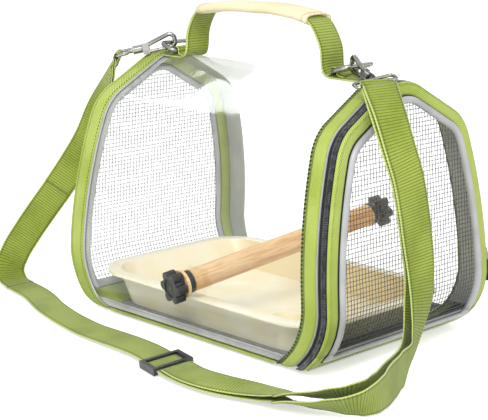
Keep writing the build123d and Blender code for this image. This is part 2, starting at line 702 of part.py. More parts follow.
def wire_frame(shape, wire):
    """Closed loop of round wire along the outer edge of a flat shape."""
    path = shape.face().outer_wire()
    profile = Plane(origin=path @ 0, z_dir=path % 0) * Circle(wire / 2)
    return sweep(profile, path=path)


def ring(leg):
    """Wire ring with a straight bar along Y and a round bow away from the handle."""
    _, outward = leg
    bar_x, bar_z = ring_bar_place(leg)
    shape = RectangleRounded(RING_DEPTH, RING_BAR, RING_CORNER)
    tip = Rot(0, -RING_RISE, 0) * (Pos(RING_DEPTH / 2, 0, 0) * wire_frame(shape, RING_WIRE))
    if outward < 0:
        tip = mirror(tip, about=Plane.YZ)
    return Pos(bar_x, 0, bar_z) * tip


# ---- Snap hooks
def hook_plane(leg, run, rest):
    """Plane at a hook's swivel with local X along the hook towards its ring and local Y up."""
    _, outward = leg
    bar_x, bar_z = ring_bar_place(leg)
    rise = math.radians(RING_RISE)
    ring_point = Vector(bar_x + outward * RING_DEPTH * math.cos(rise), HOOK_SIDE,
                        bar_z + RING_DEPTH * math.sin(rise))
    along = unit(run) * -1
    reach = HOOK_LENGTH - (HOOK_WIRE + RING_WIRE) / 2 - rest
    across = along.cross(Vector(0, 0, 1)).normalized()
    return Plane(origin=ring_point - along * reach, x_dir=along, z_dir=across)


def hook_frame():
    """Bent hook with a swivel barrel and two cheeks for the gate, in the hook's own plane."""
    barrel = Rot(0, 90, 0) * Cylinder(SWIVEL_DIAMETER / 2, SWIVEL_LENGTH)
    barrel = Pos(SWIVEL_LENGTH / 2, 0, 0) * barrel
    path = FilletPolyline((SWIVEL_LENGTH - 1, 0), (SWIVEL_LENGTH + 3, 1.6),
                          (HOOK_LENGTH, HOOK_HIGH), (HOOK_LENGTH, -HOOK_LOW),
                          (HOOK_LENGTH - NOSE_LENGTH, -HOOK_LOW), radius=[1.6, HOOK_BOW, HOOK_BOW])
    profile = Plane(origin=path @ 0, z_dir=path % 0) * Circle(HOOK_WIRE / 2)
    body = barrel + sweep(profile, path=path)
    x = SWIVEL_LENGTH + GATE_FROM_BARREL
    inside = (GATE_WIRE + GATE_CLEARANCE) / 2
    cheek = Box(6.4, HOOK_LOW + 5.6, CHEEK_THICKNESS)
    for side in (-1, 1):
        body += Pos(x - 0.6, -1.2, side * (inside + CHEEK_THICKNESS / 2)) * cheek
    bore = Cylinder(PIN_DIAMETER / 2 + SWIVEL_CLEARANCE / 2, 4 * GATE_WIRE)
    body -= Pos(x, -HOOK_LOW, 0) * bore
    post = Rot(0, 90, 0) * Cylinder(SWIVEL_DIAMETER / 2 - SWIVEL_WALL, SWIVEL_LENGTH * 1.4)
    return body - post


def hook_gate():
    """Sprung gate with its eye and pin, closing against the hook's nose."""
    x = SWIVEL_LENGTH + GATE_FROM_BARREL
    eye = Pos(x, -HOOK_LOW, 0) * Cylinder(GATE_WIRE / 2, GATE_WIRE)
    pin = Cylinder(PIN_DIAMETER / 2, GATE_WIRE + GATE_CLEARANCE + 2.4 * CHEEK_THICKNESS)
    nose = HOOK_LENGTH - NOSE_LENGTH - GATE_CLEARANCE
    rod = Rot(0, 90, 0) * Cylinder(GATE_WIRE / 2, nose - x)
    return eye + Pos(x, -HOOK_LOW, 0) * pin + Pos((x + nose) / 2, -HOOK_LOW, 0) * rod


def wire_loop(roll):
    """Rectangular wire loop for the strap, with a post in the swivel barrel."""
    shape = RectangleRounded(LOOP_DEPTH, LOOP_WIDTH, LOOP_CORNER)
    loop = Pos(-LOOP_NECK - LOOP_DEPTH / 2, 0, 0) * wire_frame(shape, LOOP_WIRE)
    loop = Rot(90 + roll, 0, 0) * loop
    radius = SWIVEL_DIAMETER / 2 - SWIVEL_WALL - SWIVEL_CLEARANCE
    start, end = -LOOP_NECK, SWIVEL_LENGTH * 0.6
    post = Pos((start + end) / 2, 0, 0) * Rot(0, 90, 0) * Cylinder(radius, end - start)
    return loop + post


# ---- Webbing laid along a route
def unit(vector):
    return Vector(*vector).normalized()


def frames(route):
    """Planes along a route: local X across the webbing, local Y out of its face."""
    points = [Vector(*station[:3]) for station in route]
    planes = []
    for i, station in enumerate(route):
        before = points[max(i - 1, 0)]
        after = points[min(i + 1, len(points) - 1)]
        run = (after - before).normalized()
        across = unit(station[3])
        across = (across - run * across.dot(run)).normalized()
        planes.append(Plane(origin=points[i], x_dir=across, z_dir=run))
    return planes


def webbing(planes):
    """Flat strap through a list of planes."""
    section = Rectangle(WEBBING_WIDTH, STRAP_THICKNESS)
    strap = loft([plane * section for plane in planes], ruled=True)
    return strap if strap.volume > 0 else -strap


def beside(planes, gaps):
    """The same planes, each moved out of the webbing's face by its gap."""
    return [Plane(origin=plane.origin + plane.y_dir * gap, x_dir=plane.x_dir, z_dir=plane.z_dir)
            for plane, gap in zip(planes, gaps)]


def left_lap(planes):
    """Second layer of the left strand, sewn back below the hook."""
    return webbing(beside(planes[:LAP_END], [STRAP_LAYER] * LAP_END))


def return_layer(planes):
    """Return layer from the straight run, over the front run and inside the loop, to the hook."""
    first = planes[STRAIGHT_RUN]
    last = planes[STRAIGHT_RUN + 1]
    origin = first.origin + (last.origin - first.origin) * RETURN_START
    start = Plane(origin=origin, x_dir=first.x_dir, z_dir=last.origin - first.origin)
    lower = [start] + planes[STRAIGHT_RUN + 1:LOOP_END]
    upper = frames(RETURN_ROUTE)
    return webbing(beside(lower, RETURN_GAPS) + upper)


def straight_plane():
    """Plane on the strap's straight run at the buckle: local X along it, local Y across it."""
    first, last = (Vector(*STRAP_ROUTE[STRAIGHT_RUN + i][:3]) for i in (0, 1))
    run = (last - first).normalized()
    across = unit(STRAP_ROUTE[STRAIGHT_RUN][3])
    across = (across - run * across.dot(run)).normalized()
    origin = first + (last - first) * BUCKLE_PLACE
    return Plane(origin=origin, x_dir=run, z_dir=run.cross(across))


def slide_buckle():
    """Slide buckle: two end bars over the strap and one middle bar under it, joined by rails."""
    width = WEBBING_WIDTH + 2 * BUCKLE_CLEARANCE
    lift = STRAP_THICKNESS / 2 + BUCKLE_CLEARANCE + BUCKLE_DEPTH / 2
    rail_height = 2 * lift + BUCKLE_DEPTH
    body = None
    for side in (-1, 1):
        rail = Box(BUCKLE_LENGTH, BUCKLE_RAIL, rail_height)
        rail = Pos(0, side * (width + BUCKLE_RAIL) / 2, 0) * rail
        body = rail if body is None else body + rail
    bar = Box(BUCKLE_BAR, width + BUCKLE_RAIL, BUCKLE_DEPTH)
    for x, z in ((-1, 1), (1, 1), (0, -1)):
        body += Pos(x * (BUCKLE_LENGTH - BUCKLE_BAR) / 2, 0, z * lift) * bar
    return straight_plane() * body


# ---- Zipper slider and pull
def slider_plane():
    """Plane on the coil at the back: local Z out of the wall, local Y up along the coil."""
    height = SLIDER_HEIGHT_ABOVE_FLOOR
    bow, _ = outline_sizes()
    angle = math.asin((height - WIDEST_HEIGHT) / bow)
    x = end_place((coil_start + coil_end) / 2, 1, height)
    normal = Vector(0, math.cos(angle), math.sin(angle))
    lean = math.tan(math.radians(END_LEAN))
    up = Vector(-lean, -math.sin(angle), math.cos(angle)).normalized()
    place = Vector(x, panel_place(height), height) + normal * COIL_THICKNESS
    return Plane(origin=place, x_dir=up.cross(normal), z_dir=normal)


def zipper_slider():
    body = Box(SLIDER_WIDTH, SLIDER_LENGTH, SLIDER_THICKNESS)
    body = fillet(body.edges().filter_by(Axis.Z), 2.0)
    lift = SLIDER_CLEARANCE + SLIDER_THICKNESS / 2
    eye = Rot(0, 90, 0) * Cylinder(EYE_RADIUS, 2.0)
    hole = Rot(0, 90, 0) * Cylinder(EYE_RADIUS - 1.2, 4.0)
    eye_height = SLIDER_THICKNESS / 2 + EYE_RADIUS - 0.8
    body += Pos(0, 0, eye_height) * eye
    body -= Pos(0, 0, eye_height) * hole
    return slider_plane() * (Pos(0, 0, lift) * body)


def pull_pivot():
    """Height of the pull's pin above the slider plane."""
    return SLIDER_CLEARANCE + SLIDER_THICKNESS + EYE_RADIUS - 0.8


def zipper_pull():
    """Pull with a pin through the slider's eye; it hangs down along the coil."""
    fork_gap = 2.6
    pin = Rot(0, 90, 0) * Cylinder(EYE_RADIUS - 1.6, PULL_WIDTH)
    length = PULL_LENGTH - 6.0
    tab = Pos(0, -6.0 - length / 2, 0) * Box(PULL_WIDTH, length, PULL_THICKNESS)
    arms = None
    for side in (-1, 1):
        x = side * (fork_gap + PULL_WIDTH) / 4
        arm = Pos(x, -3.2, 0) * Box((PULL_WIDTH - fork_gap) / 2, 8.0, PULL_THICKNESS)
        arms = arm if arms is None else arms + arm
    return slider_plane() * (Pos(0, 0, pull_pivot()) * (pin + tab + arms))


# ---- Output
def write(name, shape):
    """Write one node's solid and print its volume."""
    export_step(shape, f"parts/{name}.step")
    print(f"{name}: {shape.volume:.1f} mm3")


def main():
    os.makedirs("parts", exist_ok=True)
    left_leg, right_leg = handle_legs()
    left_hook = hook_plane(left_leg, LEFT_HOOK_RUN, LEFT_HOOK_REST)
    right_hook = hook_plane(right_leg, RIGHT_HOOK_RUN, RIGHT_HOOK_REST)
    strap = frames(STRAP_ROUTE)
    front, back = perch_ends()
    band = end_band()
    piping = end_piping()
    parts = {
        "clear_wrap": clear_wrap(),
        "base_cover": base_cover(),
        "base_board": base_board(),
        "front_hem_binding": hem_binding(-1),
        "back_hem_binding": hem_binding(1),
        "front_base_piping": base_piping(-1),
        "back_base_piping": base_piping(1),
        "left_seam_piping": left_seam_piping(),
        "left_gusset_band": left_gusset_band(),
        "left_end_band": left_end_band(),
        "left_rim_piping": left_rim_piping(),
        "left_inner_lining": left_inner_lining(),
        "left_mesh_net": net_sheet(left_gusset_end, -1, LEFT_BAND_REACH + PIPING_SIZE, 0),
        "right_seam_cord": right_seam_cord(),
        "right_gusset_band": right_gusset_band(),
        "right_inner_lining": right_inner_lining(),
        "zipper_tape": zipper_tape(),
        "zipper_coil": zipper_coil(),
        "door_band": cleared_foot(door_part(band)),
        "door_piping": door_part(piping),
        "door_mesh_net": net_sheet(door_start, 1, piping_inner, HINGE_HEIGHT + SILL_GAP),
        "sill_band": sill_part(band),
        "sill_piping": sill_part(piping),
        "sill_panel": sill_panel(),
        "tray": tray(),
        "perch_dowel": perch_dowel(),
        "front_bush": front * bush(),
        "back_bush": back * bush(),
        "front_washer": front * washer(),
        "front_stud": front * stud(WASHER_THICKNESS),
        "back_stud": back * stud(0),
        "front_knob": front * knob(WASHER_THICKNESS),
        "back_knob": back * knob(0),
        "handle_webbing": handle_webbing(),
        "handle_grip": handle_grip(),
        "left_handle_anchor": handle_anchor(left_leg),
        "right_handle_anchor": handle_anchor(right_leg),
        "left_ring": ring(left_leg),
        "right_ring": ring(right_leg),
        "left_snap_hook": left_hook * hook_frame(),
        "left_hook_gate": left_hook * hook_gate(),
        "left_wire_loop": left_hook * wire_loop(LEFT_LOOP_ROLL),
        "right_snap_hook": right_hook * hook_frame(),
        "right_hook_gate": right_hook * hook_gate(),
        "right_wire_loop": right_hook * wire_loop(RIGHT_LOOP_ROLL),
        "shoulder_strap_left": webbing(strap[:FRONT_START + 1]),
        "shoulder_strap_left_lap": left_lap(strap),
        "shoulder_strap_front": webbing(strap[FRONT_START:FRONT_END + 1]),
        "shoulder_strap_right": webbing(strap[FRONT_END:]),
        "shoulder_strap_return": return_layer(strap),
        "slide_buckle": slide_buckle(),
        "zipper_slider": zipper_slider(),
        "zipper_pull": zipper_pull(),
    }
    for name, shape in parts.items():
        write(name, shape)


main()
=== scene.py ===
"""Looks of a bird travel carrier: clear tunnel, mesh ends, perch, tray, handle and shoulder strap.

Sizes are in millimetres and angles in degrees. Meshes are made in metres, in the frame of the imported
model: the base rests on z = 0, the mesh door is towards +X and the front towards -Y.
"""

from __future__ import annotations

import json
import logging
import math
from dataclasses import dataclass
from enum import Enum
from typing import Sequence

import bmesh
import bpy
import numpy as np
from mathutils import Matrix, Vector

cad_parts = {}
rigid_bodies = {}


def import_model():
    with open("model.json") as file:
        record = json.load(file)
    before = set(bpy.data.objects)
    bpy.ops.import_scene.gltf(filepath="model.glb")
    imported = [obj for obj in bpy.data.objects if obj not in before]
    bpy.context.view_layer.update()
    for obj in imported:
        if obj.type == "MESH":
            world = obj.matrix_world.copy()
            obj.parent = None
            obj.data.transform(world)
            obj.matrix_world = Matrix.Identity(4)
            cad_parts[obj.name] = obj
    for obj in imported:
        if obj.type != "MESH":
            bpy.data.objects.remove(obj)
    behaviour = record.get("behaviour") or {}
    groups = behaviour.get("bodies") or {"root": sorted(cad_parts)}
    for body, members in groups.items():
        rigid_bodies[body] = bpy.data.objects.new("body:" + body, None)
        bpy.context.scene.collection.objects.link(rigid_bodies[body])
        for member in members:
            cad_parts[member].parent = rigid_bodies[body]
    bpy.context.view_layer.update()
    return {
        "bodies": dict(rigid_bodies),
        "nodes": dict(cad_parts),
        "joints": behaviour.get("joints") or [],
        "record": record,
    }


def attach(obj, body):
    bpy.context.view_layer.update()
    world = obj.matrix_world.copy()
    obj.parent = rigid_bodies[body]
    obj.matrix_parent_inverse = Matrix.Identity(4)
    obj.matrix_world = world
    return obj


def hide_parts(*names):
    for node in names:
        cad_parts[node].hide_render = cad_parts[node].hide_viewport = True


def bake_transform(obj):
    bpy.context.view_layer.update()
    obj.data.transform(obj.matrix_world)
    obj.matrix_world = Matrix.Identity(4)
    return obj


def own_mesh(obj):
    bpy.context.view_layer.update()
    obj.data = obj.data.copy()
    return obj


log = logging.getLogger("carrier")

MM = 0.001
IMAGE_SIZE = (488, 420)
RUN_MAP = "Run"  # UV map: metres along a piece, metres across it
Point = tuple[float, float, float]
Flat = tuple[float, float]


class Weave(Enum):
    """How a cloth's threads lie."""

    RIBBED = "ribbed"
    TWILL = "twill"
    PLAIN = "plain"


class End(Enum):
    """Which end of the carrier a piece belongs to; the value is its direction along X."""

    LEFT = -1
    RIGHT = 1


# ---- Shader building
def linear(code: str) -> tuple[float, float, float, float]:
    """Turn a written colour into the renderer's linear one.

    Args:
        code: Six hexadecimal digits after a hash.

    Returns:
        Linear red, green, blue and an alpha of 1.
    """
    parts = [int(code[i:i + 2], 16) / 255 for i in (1, 3, 5)]
    red, green, blue = (c / 12.92 if c <= 0.04045 else ((c + 0.055) / 1.055) ** 2.4
                        for c in parts)
    return red, green, blue, 1.0


class Desk:
    """Places and joins nodes in one node tree."""

    def __init__(self, tree: bpy.types.NodeTree) -> None:
        """Start on a tree that may already hold nodes."""
        self.tree = tree

    def add(self, kind: str, inputs: dict | None = None, **settings: object) -> bpy.types.Node:
        """Add a node.

        Args:
            kind: The node's type name.
            inputs: Values or sockets for its inputs, by name or place.
            settings: The node's own properties.

        Returns:
            The new node.
        """
        node = self.tree.nodes.new(kind)
        for key, value in settings.items():
            setattr(node, key, value)
        for key, value in (inputs or {}).items():
            if isinstance(value, bpy.types.NodeSocket):
                self.tree.links.new(value, node.inputs[key])
            else:
                node.inputs[key].default_value = value
        return node

    def sums(self, operation: str, *values: object) -> bpy.types.NodeSocket:
        """Result of a Math node on sockets or numbers."""
        return self.add("ShaderNodeMath", dict(enumerate(values)), operation=operation).outputs[0]

    def mix(self, share: object, first: object, second: object) -> bpy.types.NodeSocket:
        """Colour between two colours, by a share."""
        node = self.add("ShaderNodeMix", data_type="RGBA")
        for place, value in ((0, share), (6, first), (7, second)):
            if isinstance(value, bpy.types.NodeSocket):
                self.tree.links.new(value, node.inputs[place])
            else:
                node.inputs[place].default_value = value
        return node.outputs[2]

    def step(self, value: object, low: float, high: float) -> bpy.types.NodeSocket:
        """Smooth rise from 0 at low to 1 at high."""
        node = self.add("ShaderNodeMapRange", {0: value, 1: low, 2: high},
                        interpolation_type="SMOOTHSTEP")
        return node.outputs[0]

    def noise(self, vector: object, scale: float, detail: float = 2.0) -> bpy.types.NodeSocket:
        """Noise value at a vector."""
        return self.add("ShaderNodeTexNoise", {"Vector": vector, "Scale": scale, "Detail": detail}
                        ).outputs[0]


def group_tree(name: str, inputs: Sequence[tuple[str, str]],
               outputs: Sequence[str]) -> tuple[Desk, bpy.types.Node, bpy.types.Node]:
    """Start a shader node group with named sockets.

    Args:
        name: The group's name.
        inputs: Name and socket type of each input.
        outputs: Names of the float outputs.

    Returns:
        A desk on the group, its input node and its output node.
    """
    tree = bpy.data.node_groups.new(name, "ShaderNodeTree")
    for label, kind in inputs:
        tree.interface.new_socket(label, in_out="INPUT", socket_type=kind)
    for label in outputs:
        tree.interface.new_socket(label, in_out="OUTPUT", socket_type="NodeSocketFloat")
    desk = Desk(tree)
    return desk, desk.add("NodeGroupInput"), desk.add("NodeGroupOutput")


def build_weave_group(weave: Weave) -> bpy.types.NodeTree:
    """Group that turns a place on cloth into thread height and the gaps between threads.

    Args:
        weave: How the threads lie.

    Returns:
        Group with inputs Place and Pitch and outputs Height and Gap.
    """
    desk, given, made = group_tree(f"{weave.value}_threads",
                                   [("Place", "NodeSocketVector"), ("Pitch", "NodeSocketFloat")],
                                   ["Height", "Gap"])
    split = desk.add("ShaderNodeSeparateXYZ", {0: given.outputs["Place"]})
    along = desk.sums("DIVIDE", split.outputs[0], given.outputs["Pitch"])
    across = desk.sums("DIVIDE", split.outputs[1], given.outputs["Pitch"])
    if weave is Weave.TWILL:
        line = desk.sums("ADD", along, across)
        first = desk.sums("ABSOLUTE", desk.sums("SINE", desk.sums("MULTIPLY", line, math.pi)))
        cut = desk.sums("SINE", desk.sums("MULTIPLY", desk.sums("SUBTRACT", along, across),
                                          math.pi * 1.3))
    elif weave is Weave.RIBBED:
        first = desk.sums("ABSOLUTE", desk.sums("SINE", desk.sums("MULTIPLY", along, math.pi)))
        cut = desk.sums("SINE", desk.sums("MULTIPLY", across, math.pi * 2.2))
    else:
        first = desk.sums("ABSOLUTE", desk.sums("SINE", desk.sums("MULTIPLY", along, math.pi)))
        cut = desk.sums("SINE", desk.sums("MULTIPLY", across, math.pi * 2.0))
    depth = 0.5 if weave is Weave.PLAIN else 0.22
    ridge = desk.sums("MULTIPLY", desk.sums("ABSOLUTE", cut), depth)
    height = desk.sums("ADD", desk.sums("MULTIPLY", first, 1 - depth), ridge)
    desk.tree.links.new(height, made.inputs["Height"])
    gap = desk.sums("SUBTRACT", 1.0, desk.step(height, 0.12, 0.62))
    desk.tree.links.new(gap, made.inputs["Gap"])
    return desk.tree


def build_mottle_group() -> bpy.types.NodeTree:
    """Group for the uneven shade of dyed, moulded or worn stuff: broad patches and fine grain."""
    desk, given, made = group_tree("mottle",
                                   [("Place", "NodeSocketVector"), ("Size", "NodeSocketFloat")],
                                   ["Patches", "Grain"])
    scale = desk.sums("DIVIDE", 1.0, given.outputs["Size"])
    broad = desk.add("ShaderNodeTexNoise", {"Vector": given.outputs["Place"], "Scale": scale,
                                            "Detail": 3.0}).outputs[0]
    fine = desk.add("ShaderNodeTexNoise", {"Vector": given.outputs["Place"], "Detail": 4.0,
                                           "Scale": desk.sums("MULTIPLY", scale, 14.0)}).outputs[0]
    desk.tree.links.new(desk.step(broad, 0.36, 0.66), made.inputs["Patches"])
    desk.tree.links.new(fine, made.inputs["Grain"])
    return desk.tree


def build_edge_highlight_group() -> bpy.types.NodeTree:
    """Group for painted highlights on sharp edges: a mask from the surface's pointiness, broken up by
    noise.
    """
    desk, given, made = group_tree("painted_edge_highlight",
                                   [("Place", "NodeSocketVector"), ("Amount", "NodeSocketFloat")],
                                   ["Mask"])
    point = desk.add("ShaderNodeNewGeometry").outputs["Pointiness"]
    sharp = desk.step(point, 0.52, 0.60)
    broken = desk.step(desk.noise(given.outputs["Place"], 260.0), 0.40, 0.62)
    mask = desk.sums("MULTIPLY", desk.sums("MULTIPLY", sharp, broken), given.outputs["Amount"])
    desk.tree.links.new(mask, made.inputs["Mask"])
    return desk.tree


class Groups:
    """Shader node groups shared by the materials, each built once."""

    def __init__(self) -> None:
        """Build every group."""
        self.threads = {weave: build_weave_group(weave) for weave in Weave}
        self.mottle = build_mottle_group()
        self.edge_highlight = build_edge_highlight_group()


class Bench:
    """A new material with its shader and the places its patterns read."""

    def __init__(self, name: str) -> None:
        """Start a material that holds one Principled shader."""
        self.material = bpy.data.materials.new(name)
        self.material.use_nodes = True
        self.desk = Desk(self.material.node_tree)
        self.shader = self.material.node_tree.nodes["Principled BSDF"]
        self.place = self.desk.add("ShaderNodeTexCoord").outputs["Object"]

    def run(self) -> bpy.types.NodeSocket:
        """Metres along and across the piece, from its own UV map."""
        return self.desk.add("ShaderNodeUVMap", uv_map=RUN_MAP).outputs[0]

    def group(self, tree: bpy.types.NodeTree, **inputs: object) -> bpy.types.Node:
        """Place a shared group with its own values."""
        node = self.desk.add("ShaderNodeGroup")
        node.node_tree = tree
        for key, value in inputs.items():
            if isinstance(value, bpy.types.NodeSocket):
                self.desk.tree.links.new(value, node.inputs[key])
            else:
                node.inputs[key].default_value = value
        return node

    def feed(self, **inputs: object) -> None:
        """Set or link the shader's inputs; an underscore stands for a space."""
        for key, value in inputs.items():
            socket = self.shader.inputs[key.replace("_", " ")]
            if isinstance(value, bpy.types.NodeSocket):
                self.desk.tree.links.new(value, socket)
            else:
                socket.default_value = value

    def bump(self, height: bpy.types.NodeSocket, distance: float, strength: float = 1.0) -> None:
        """Feed the normal from a height, whose full rise is distance millimetres."""
        node = self.desk.add("ShaderNodeBump", {"Height": height, "Distance": distance * MM,
                                                "Strength": strength})
        self.feed(Normal=node.outputs[0])


@dataclass(frozen=True)
class ClothFinish:
    """Woven cloth, webbing or tape, with threads along the piece's own map, painted shade in the gaps
    between threads and, where given, a painted highlight along the edges.
    """

    name: str
    light: str
    dark: str
    # Darker colour for the painted shade between threads, also used for the line inside the edges.
    gap: str
    weave: Weave
    pitch: float
    depth: float = 0.35
    roughness: float = 0.72
    sheen: float = 0.25
    # Pale colour of the painted highlight along the edges, or none.
    lit_edge: str = ""
    woven_width: float = 30.3

    def build(self, groups: Groups) -> bpy.types.Material:
        """Make the material.

        Args:
            groups: The shared shader groups.

        Returns:
            The finished material.
        """
        bench = Bench(self.name)
        threads = bench.group(groups.threads[self.weave], Place=bench.run(),
                              Pitch=self.pitch * MM)
        shade = bench.group(groups.mottle, Place=bench.place, Size=0.05)
        body = bench.desk.mix(shade.outputs["Patches"], linear(self.dark), linear(self.light))
        fleck = bench.desk.step(shade.outputs["Grain"], 0.35, 0.75)
        body = bench.desk.mix(bench.desk.sums("MULTIPLY", fleck, 0.35), body, linear(self.light))
        # Painted shade: the gaps between threads take the darker gap colour.
        gap = bench.desk.sums("MULTIPLY", threads.outputs["Gap"], 0.85)
        colour = bench.desk.mix(gap, body, linear(self.gap))
        if self.lit_edge:
            colour = self.edges(bench, colour)
        bench.feed(Base_Color=colour,
                   Roughness=self.roughness, Sheen_Weight=self.sheen, Sheen_Roughness=0.4,
                   Specular_IOR_Level=0.3)
        bench.bump(threads.outputs["Height"], self.depth)
        return bench.material

    def edges(self, bench: Bench, colour: bpy.types.NodeSocket) -> bpy.types.NodeSocket:
        """Painted highlight along the edges: a pale border, with a darker line inside each.

        Args:
            bench: The material being made.
            colour: The cloth's colour so far.

        Returns:
            The colour with its edges.
        """
        desk = bench.desk
        across = desk.add("ShaderNodeSeparateXYZ", {0: bench.run()}).outputs[1]
        inward = desk.sums("PINGPONG", across, self.woven_width / 2 * MM)
        line = desk.sums("SUBTRACT", desk.step(inward, 1.2 * MM, 1.7 * MM),
                         desk.step(inward, 2.6 * MM, 3.3 * MM))
        colour = desk.mix(desk.sums("MULTIPLY", line, 0.55), colour, linear(self.gap))
        # Painted highlight: the border takes the pale edge colour.
        border = desk.sums("SUBTRACT", 1.0, desk.step(inward, 0.7 * MM, 1.3 * MM))
        return desk.mix(desk.sums("MULTIPLY", border, 0.7), colour, linear(self.lit_edge))


@dataclass(frozen=True)
class MouldedFinish:
    """Moulded plastic, vinyl or board: a body colour, faint patches, fine grain, painted highlights on
    sharp edges and, where given, painted shade on inward-looking walls.
    """

    name: str
    colour: str
    patch: str
    # Paler colour of the painted highlight on sharp edges.
    edge: str
    roughness: float = 0.4
    grain: float = 0.05
    coat: float = 0.0
    edge_highlight: float = 0.3
    through: float = 0.0
    wall: str = ""

    def build(self, groups: Groups) -> bpy.types.Material:
        """Make the material.

        Args:
            groups: The shared shader groups.

        Returns:
            The finished material.
        """
        bench = Bench(self.name)
        shade = bench.group(groups.mottle, Place=bench.place, Size=0.03)
        highlit_edges = bench.group(groups.edge_highlight, Place=bench.place, Amount=self.edge_highlight)
        body = bench.desk.mix(shade.outputs["Patches"], linear(self.colour), linear(self.patch))
        if self.wall:
            body = self.walls(bench, body)
        # Painted highlight: sharp edges take the paler edge colour.
        colour = bench.desk.mix(highlit_edges.outputs["Mask"], body, linear(self.edge))
        uneven = bench.desk.sums("MULTIPLY_ADD", shade.outputs["Grain"], 0.18,
                                 self.roughness - 0.09)
        bench.feed(Base_Color=colour, Roughness=uneven, Coat_Weight=self.coat,
                   Coat_Roughness=0.15, Subsurface_Weight=self.through,
                   Subsurface_Scale=0.004)
        bench.bump(shade.outputs["Grain"], self.grain)
        return bench.material

    def walls(self, bench: Bench, colour: bpy.types.NodeSocket) -> bpy.types.NodeSocket:
        """Deeper colour on upright faces that look inwards, which lie in their own shade.

        Args:
            bench: The material being made.
            colour: The body colour so far.

        Returns:
            The colour with its walls.
        """
        normal = bench.desk.add("ShaderNodeTexCoord").outputs["Normal"]
        height = bench.desk.add("ShaderNodeSeparateXYZ", {0: normal}).outputs[2]
        upright = bench.desk.sums("SUBTRACT", 1.0, bench.desk.step(
            bench.desk.sums("ABSOLUTE", height), 0.25, 0.8))
        facing = bench.desk.add("ShaderNodeVectorMath", {0: normal, 1: bench.place},
                                operation="DOT_PRODUCT").outputs["Value"]
        inner = bench.desk.sums("MULTIPLY", upright, bench.desk.sums("LESS_THAN", facing, 0.0))
        return bench.desk.mix(inner, colour, linear(self.wall))


@dataclass(frozen=True)
class MetalFinish:
    """Plated wire or casting with faint brushing, small rubs and painted shade where the surface turns
    away from view.
    """

    name: str
    colour: str
    grazing_shade: str
    roughness: float = 0.16

    def build(self, groups: Groups) -> bpy.types.Material:
        """Make the material.

        Args:
            groups: The shared shader groups.

        Returns:
            The finished material.
        """
        bench = Bench(self.name)
        shade = bench.group(groups.mottle, Place=bench.place, Size=0.012)
        # Painted shade: the colour darkens towards the grazing colour where the surface turns away
        # from view.
        facing = bench.desk.add("ShaderNodeLayerWeight", {"Blend": 0.5}).outputs["Facing"]
        turned = bench.desk.step(facing, 0.25, 0.75)
        share = bench.desk.sums("MULTIPLY_ADD", shade.outputs["Patches"], 0.3,
                                bench.desk.sums("MULTIPLY", turned, 0.7))
        body = bench.desk.mix(share, linear(self.colour), linear(self.grazing_shade))
        rough = bench.desk.sums("MULTIPLY_ADD", shade.outputs["Grain"], 0.16,
                                self.roughness - 0.06)
        bench.feed(Base_Color=body, Metallic=1.0, Roughness=rough)
        bench.bump(shade.outputs["Grain"], 0.02)
        return bench.material


@dataclass(frozen=True)
class WoodFinish:
    """Turned wood whose grain runs along an axis in the model's frame."""

    name: str
    light: str
    streak: str
    axis: Point

    def build(self, groups: Groups) -> bpy.types.Material:
        """Make the material.

        Args:
            groups: The shared shader groups.

        Returns:
            The finished material.
        """
        bench = Bench(self.name)
        turn = Vector(self.axis).rotation_difference(Vector((0, 0, 1))).to_euler()
        turned = bench.desk.add("ShaderNodeMapping", {"Vector": bench.place, "Rotation": turn})
        drawn = bench.desk.add("ShaderNodeMapping", {"Vector": turned.outputs[0],
                                                     "Scale": (1.0, 1.0, 0.07)})
        lines = bench.desk.noise(drawn.outputs[0], 420.0, 5.0)
        broad = bench.desk.noise(drawn.outputs[0], 120.0, 2.0)
        pores = bench.desk.step(bench.desk.noise(drawn.outputs[0], 1500.0, 3.0), 0.56, 0.72)
        share = bench.desk.sums("ADD", bench.desk.step(lines, 0.42, 0.68),
                                bench.desk.sums("MULTIPLY", bench.desk.step(broad, 0.4, 0.7), 0.6))
        share = bench.desk.sums("MINIMUM", bench.desk.sums("MULTIPLY", share, 0.62), 1.0)
        body = bench.desk.mix(share, linear(self.light), linear(self.streak))
        shade = bench.group(groups.mottle, Place=bench.place, Size=0.02)
        body = bench.desk.mix(bench.desk.sums("MULTIPLY", pores, 0.4), body, linear("#7A4E22"))
        rough = bench.desk.sums("MULTIPLY_ADD", shade.outputs["Patches"], 0.12, 0.48)
        bench.feed(Base_Color=body, Roughness=rough, Specular_IOR_Level=0.4)
        bench.bump(bench.desk.sums("SUBTRACT", lines, pores), 0.12)
        return bench.material


@dataclass(frozen=True)
class ClearFinish:
    """Clear soft sheet: see-through face on, milky and mirror-like at a glancing angle."""

    name: str
    haze: str
    low: float = 0.04
    rim: float = 0.7
    fall: float = 4.5
    gloss: float = 1.0

    def build(self, groups: Groups) -> bpy.types.Material:
        """Make the material.

        Args:
            groups: The shared shader groups.

        Returns:
            The finished material.
        """
        bench = Bench(self.name)
        shade = bench.group(groups.mottle, Place=bench.place, Size=0.09)
        facing = bench.desk.add("ShaderNodeLayerWeight", {"Blend": 0.5}).outputs["Facing"]
        glance = bench.desk.sums("MULTIPLY", bench.desk.sums("POWER", facing, self.fall),
                                 self.rim)
        cloud = bench.desk.sums("MULTIPLY", shade.outputs["Patches"], 0.012)
        alpha = bench.desk.sums("ADD", bench.desk.sums("ADD", glance, cloud), self.low)
        bench.feed(Base_Color=linear(self.haze), Metallic=0.5, Roughness=0.07,
                   Alpha=bench.desk.sums("MINIMUM", alpha, 1.0), Coat_Weight=self.gloss,
                   Coat_Roughness=0.03)
        wave = bench.desk.noise(bench.place, 22.0, 1.0)
        bench.bump(wave, 1.6, 0.5)
        bench.material.surface_render_method = "DITHERED"
        return bench.material


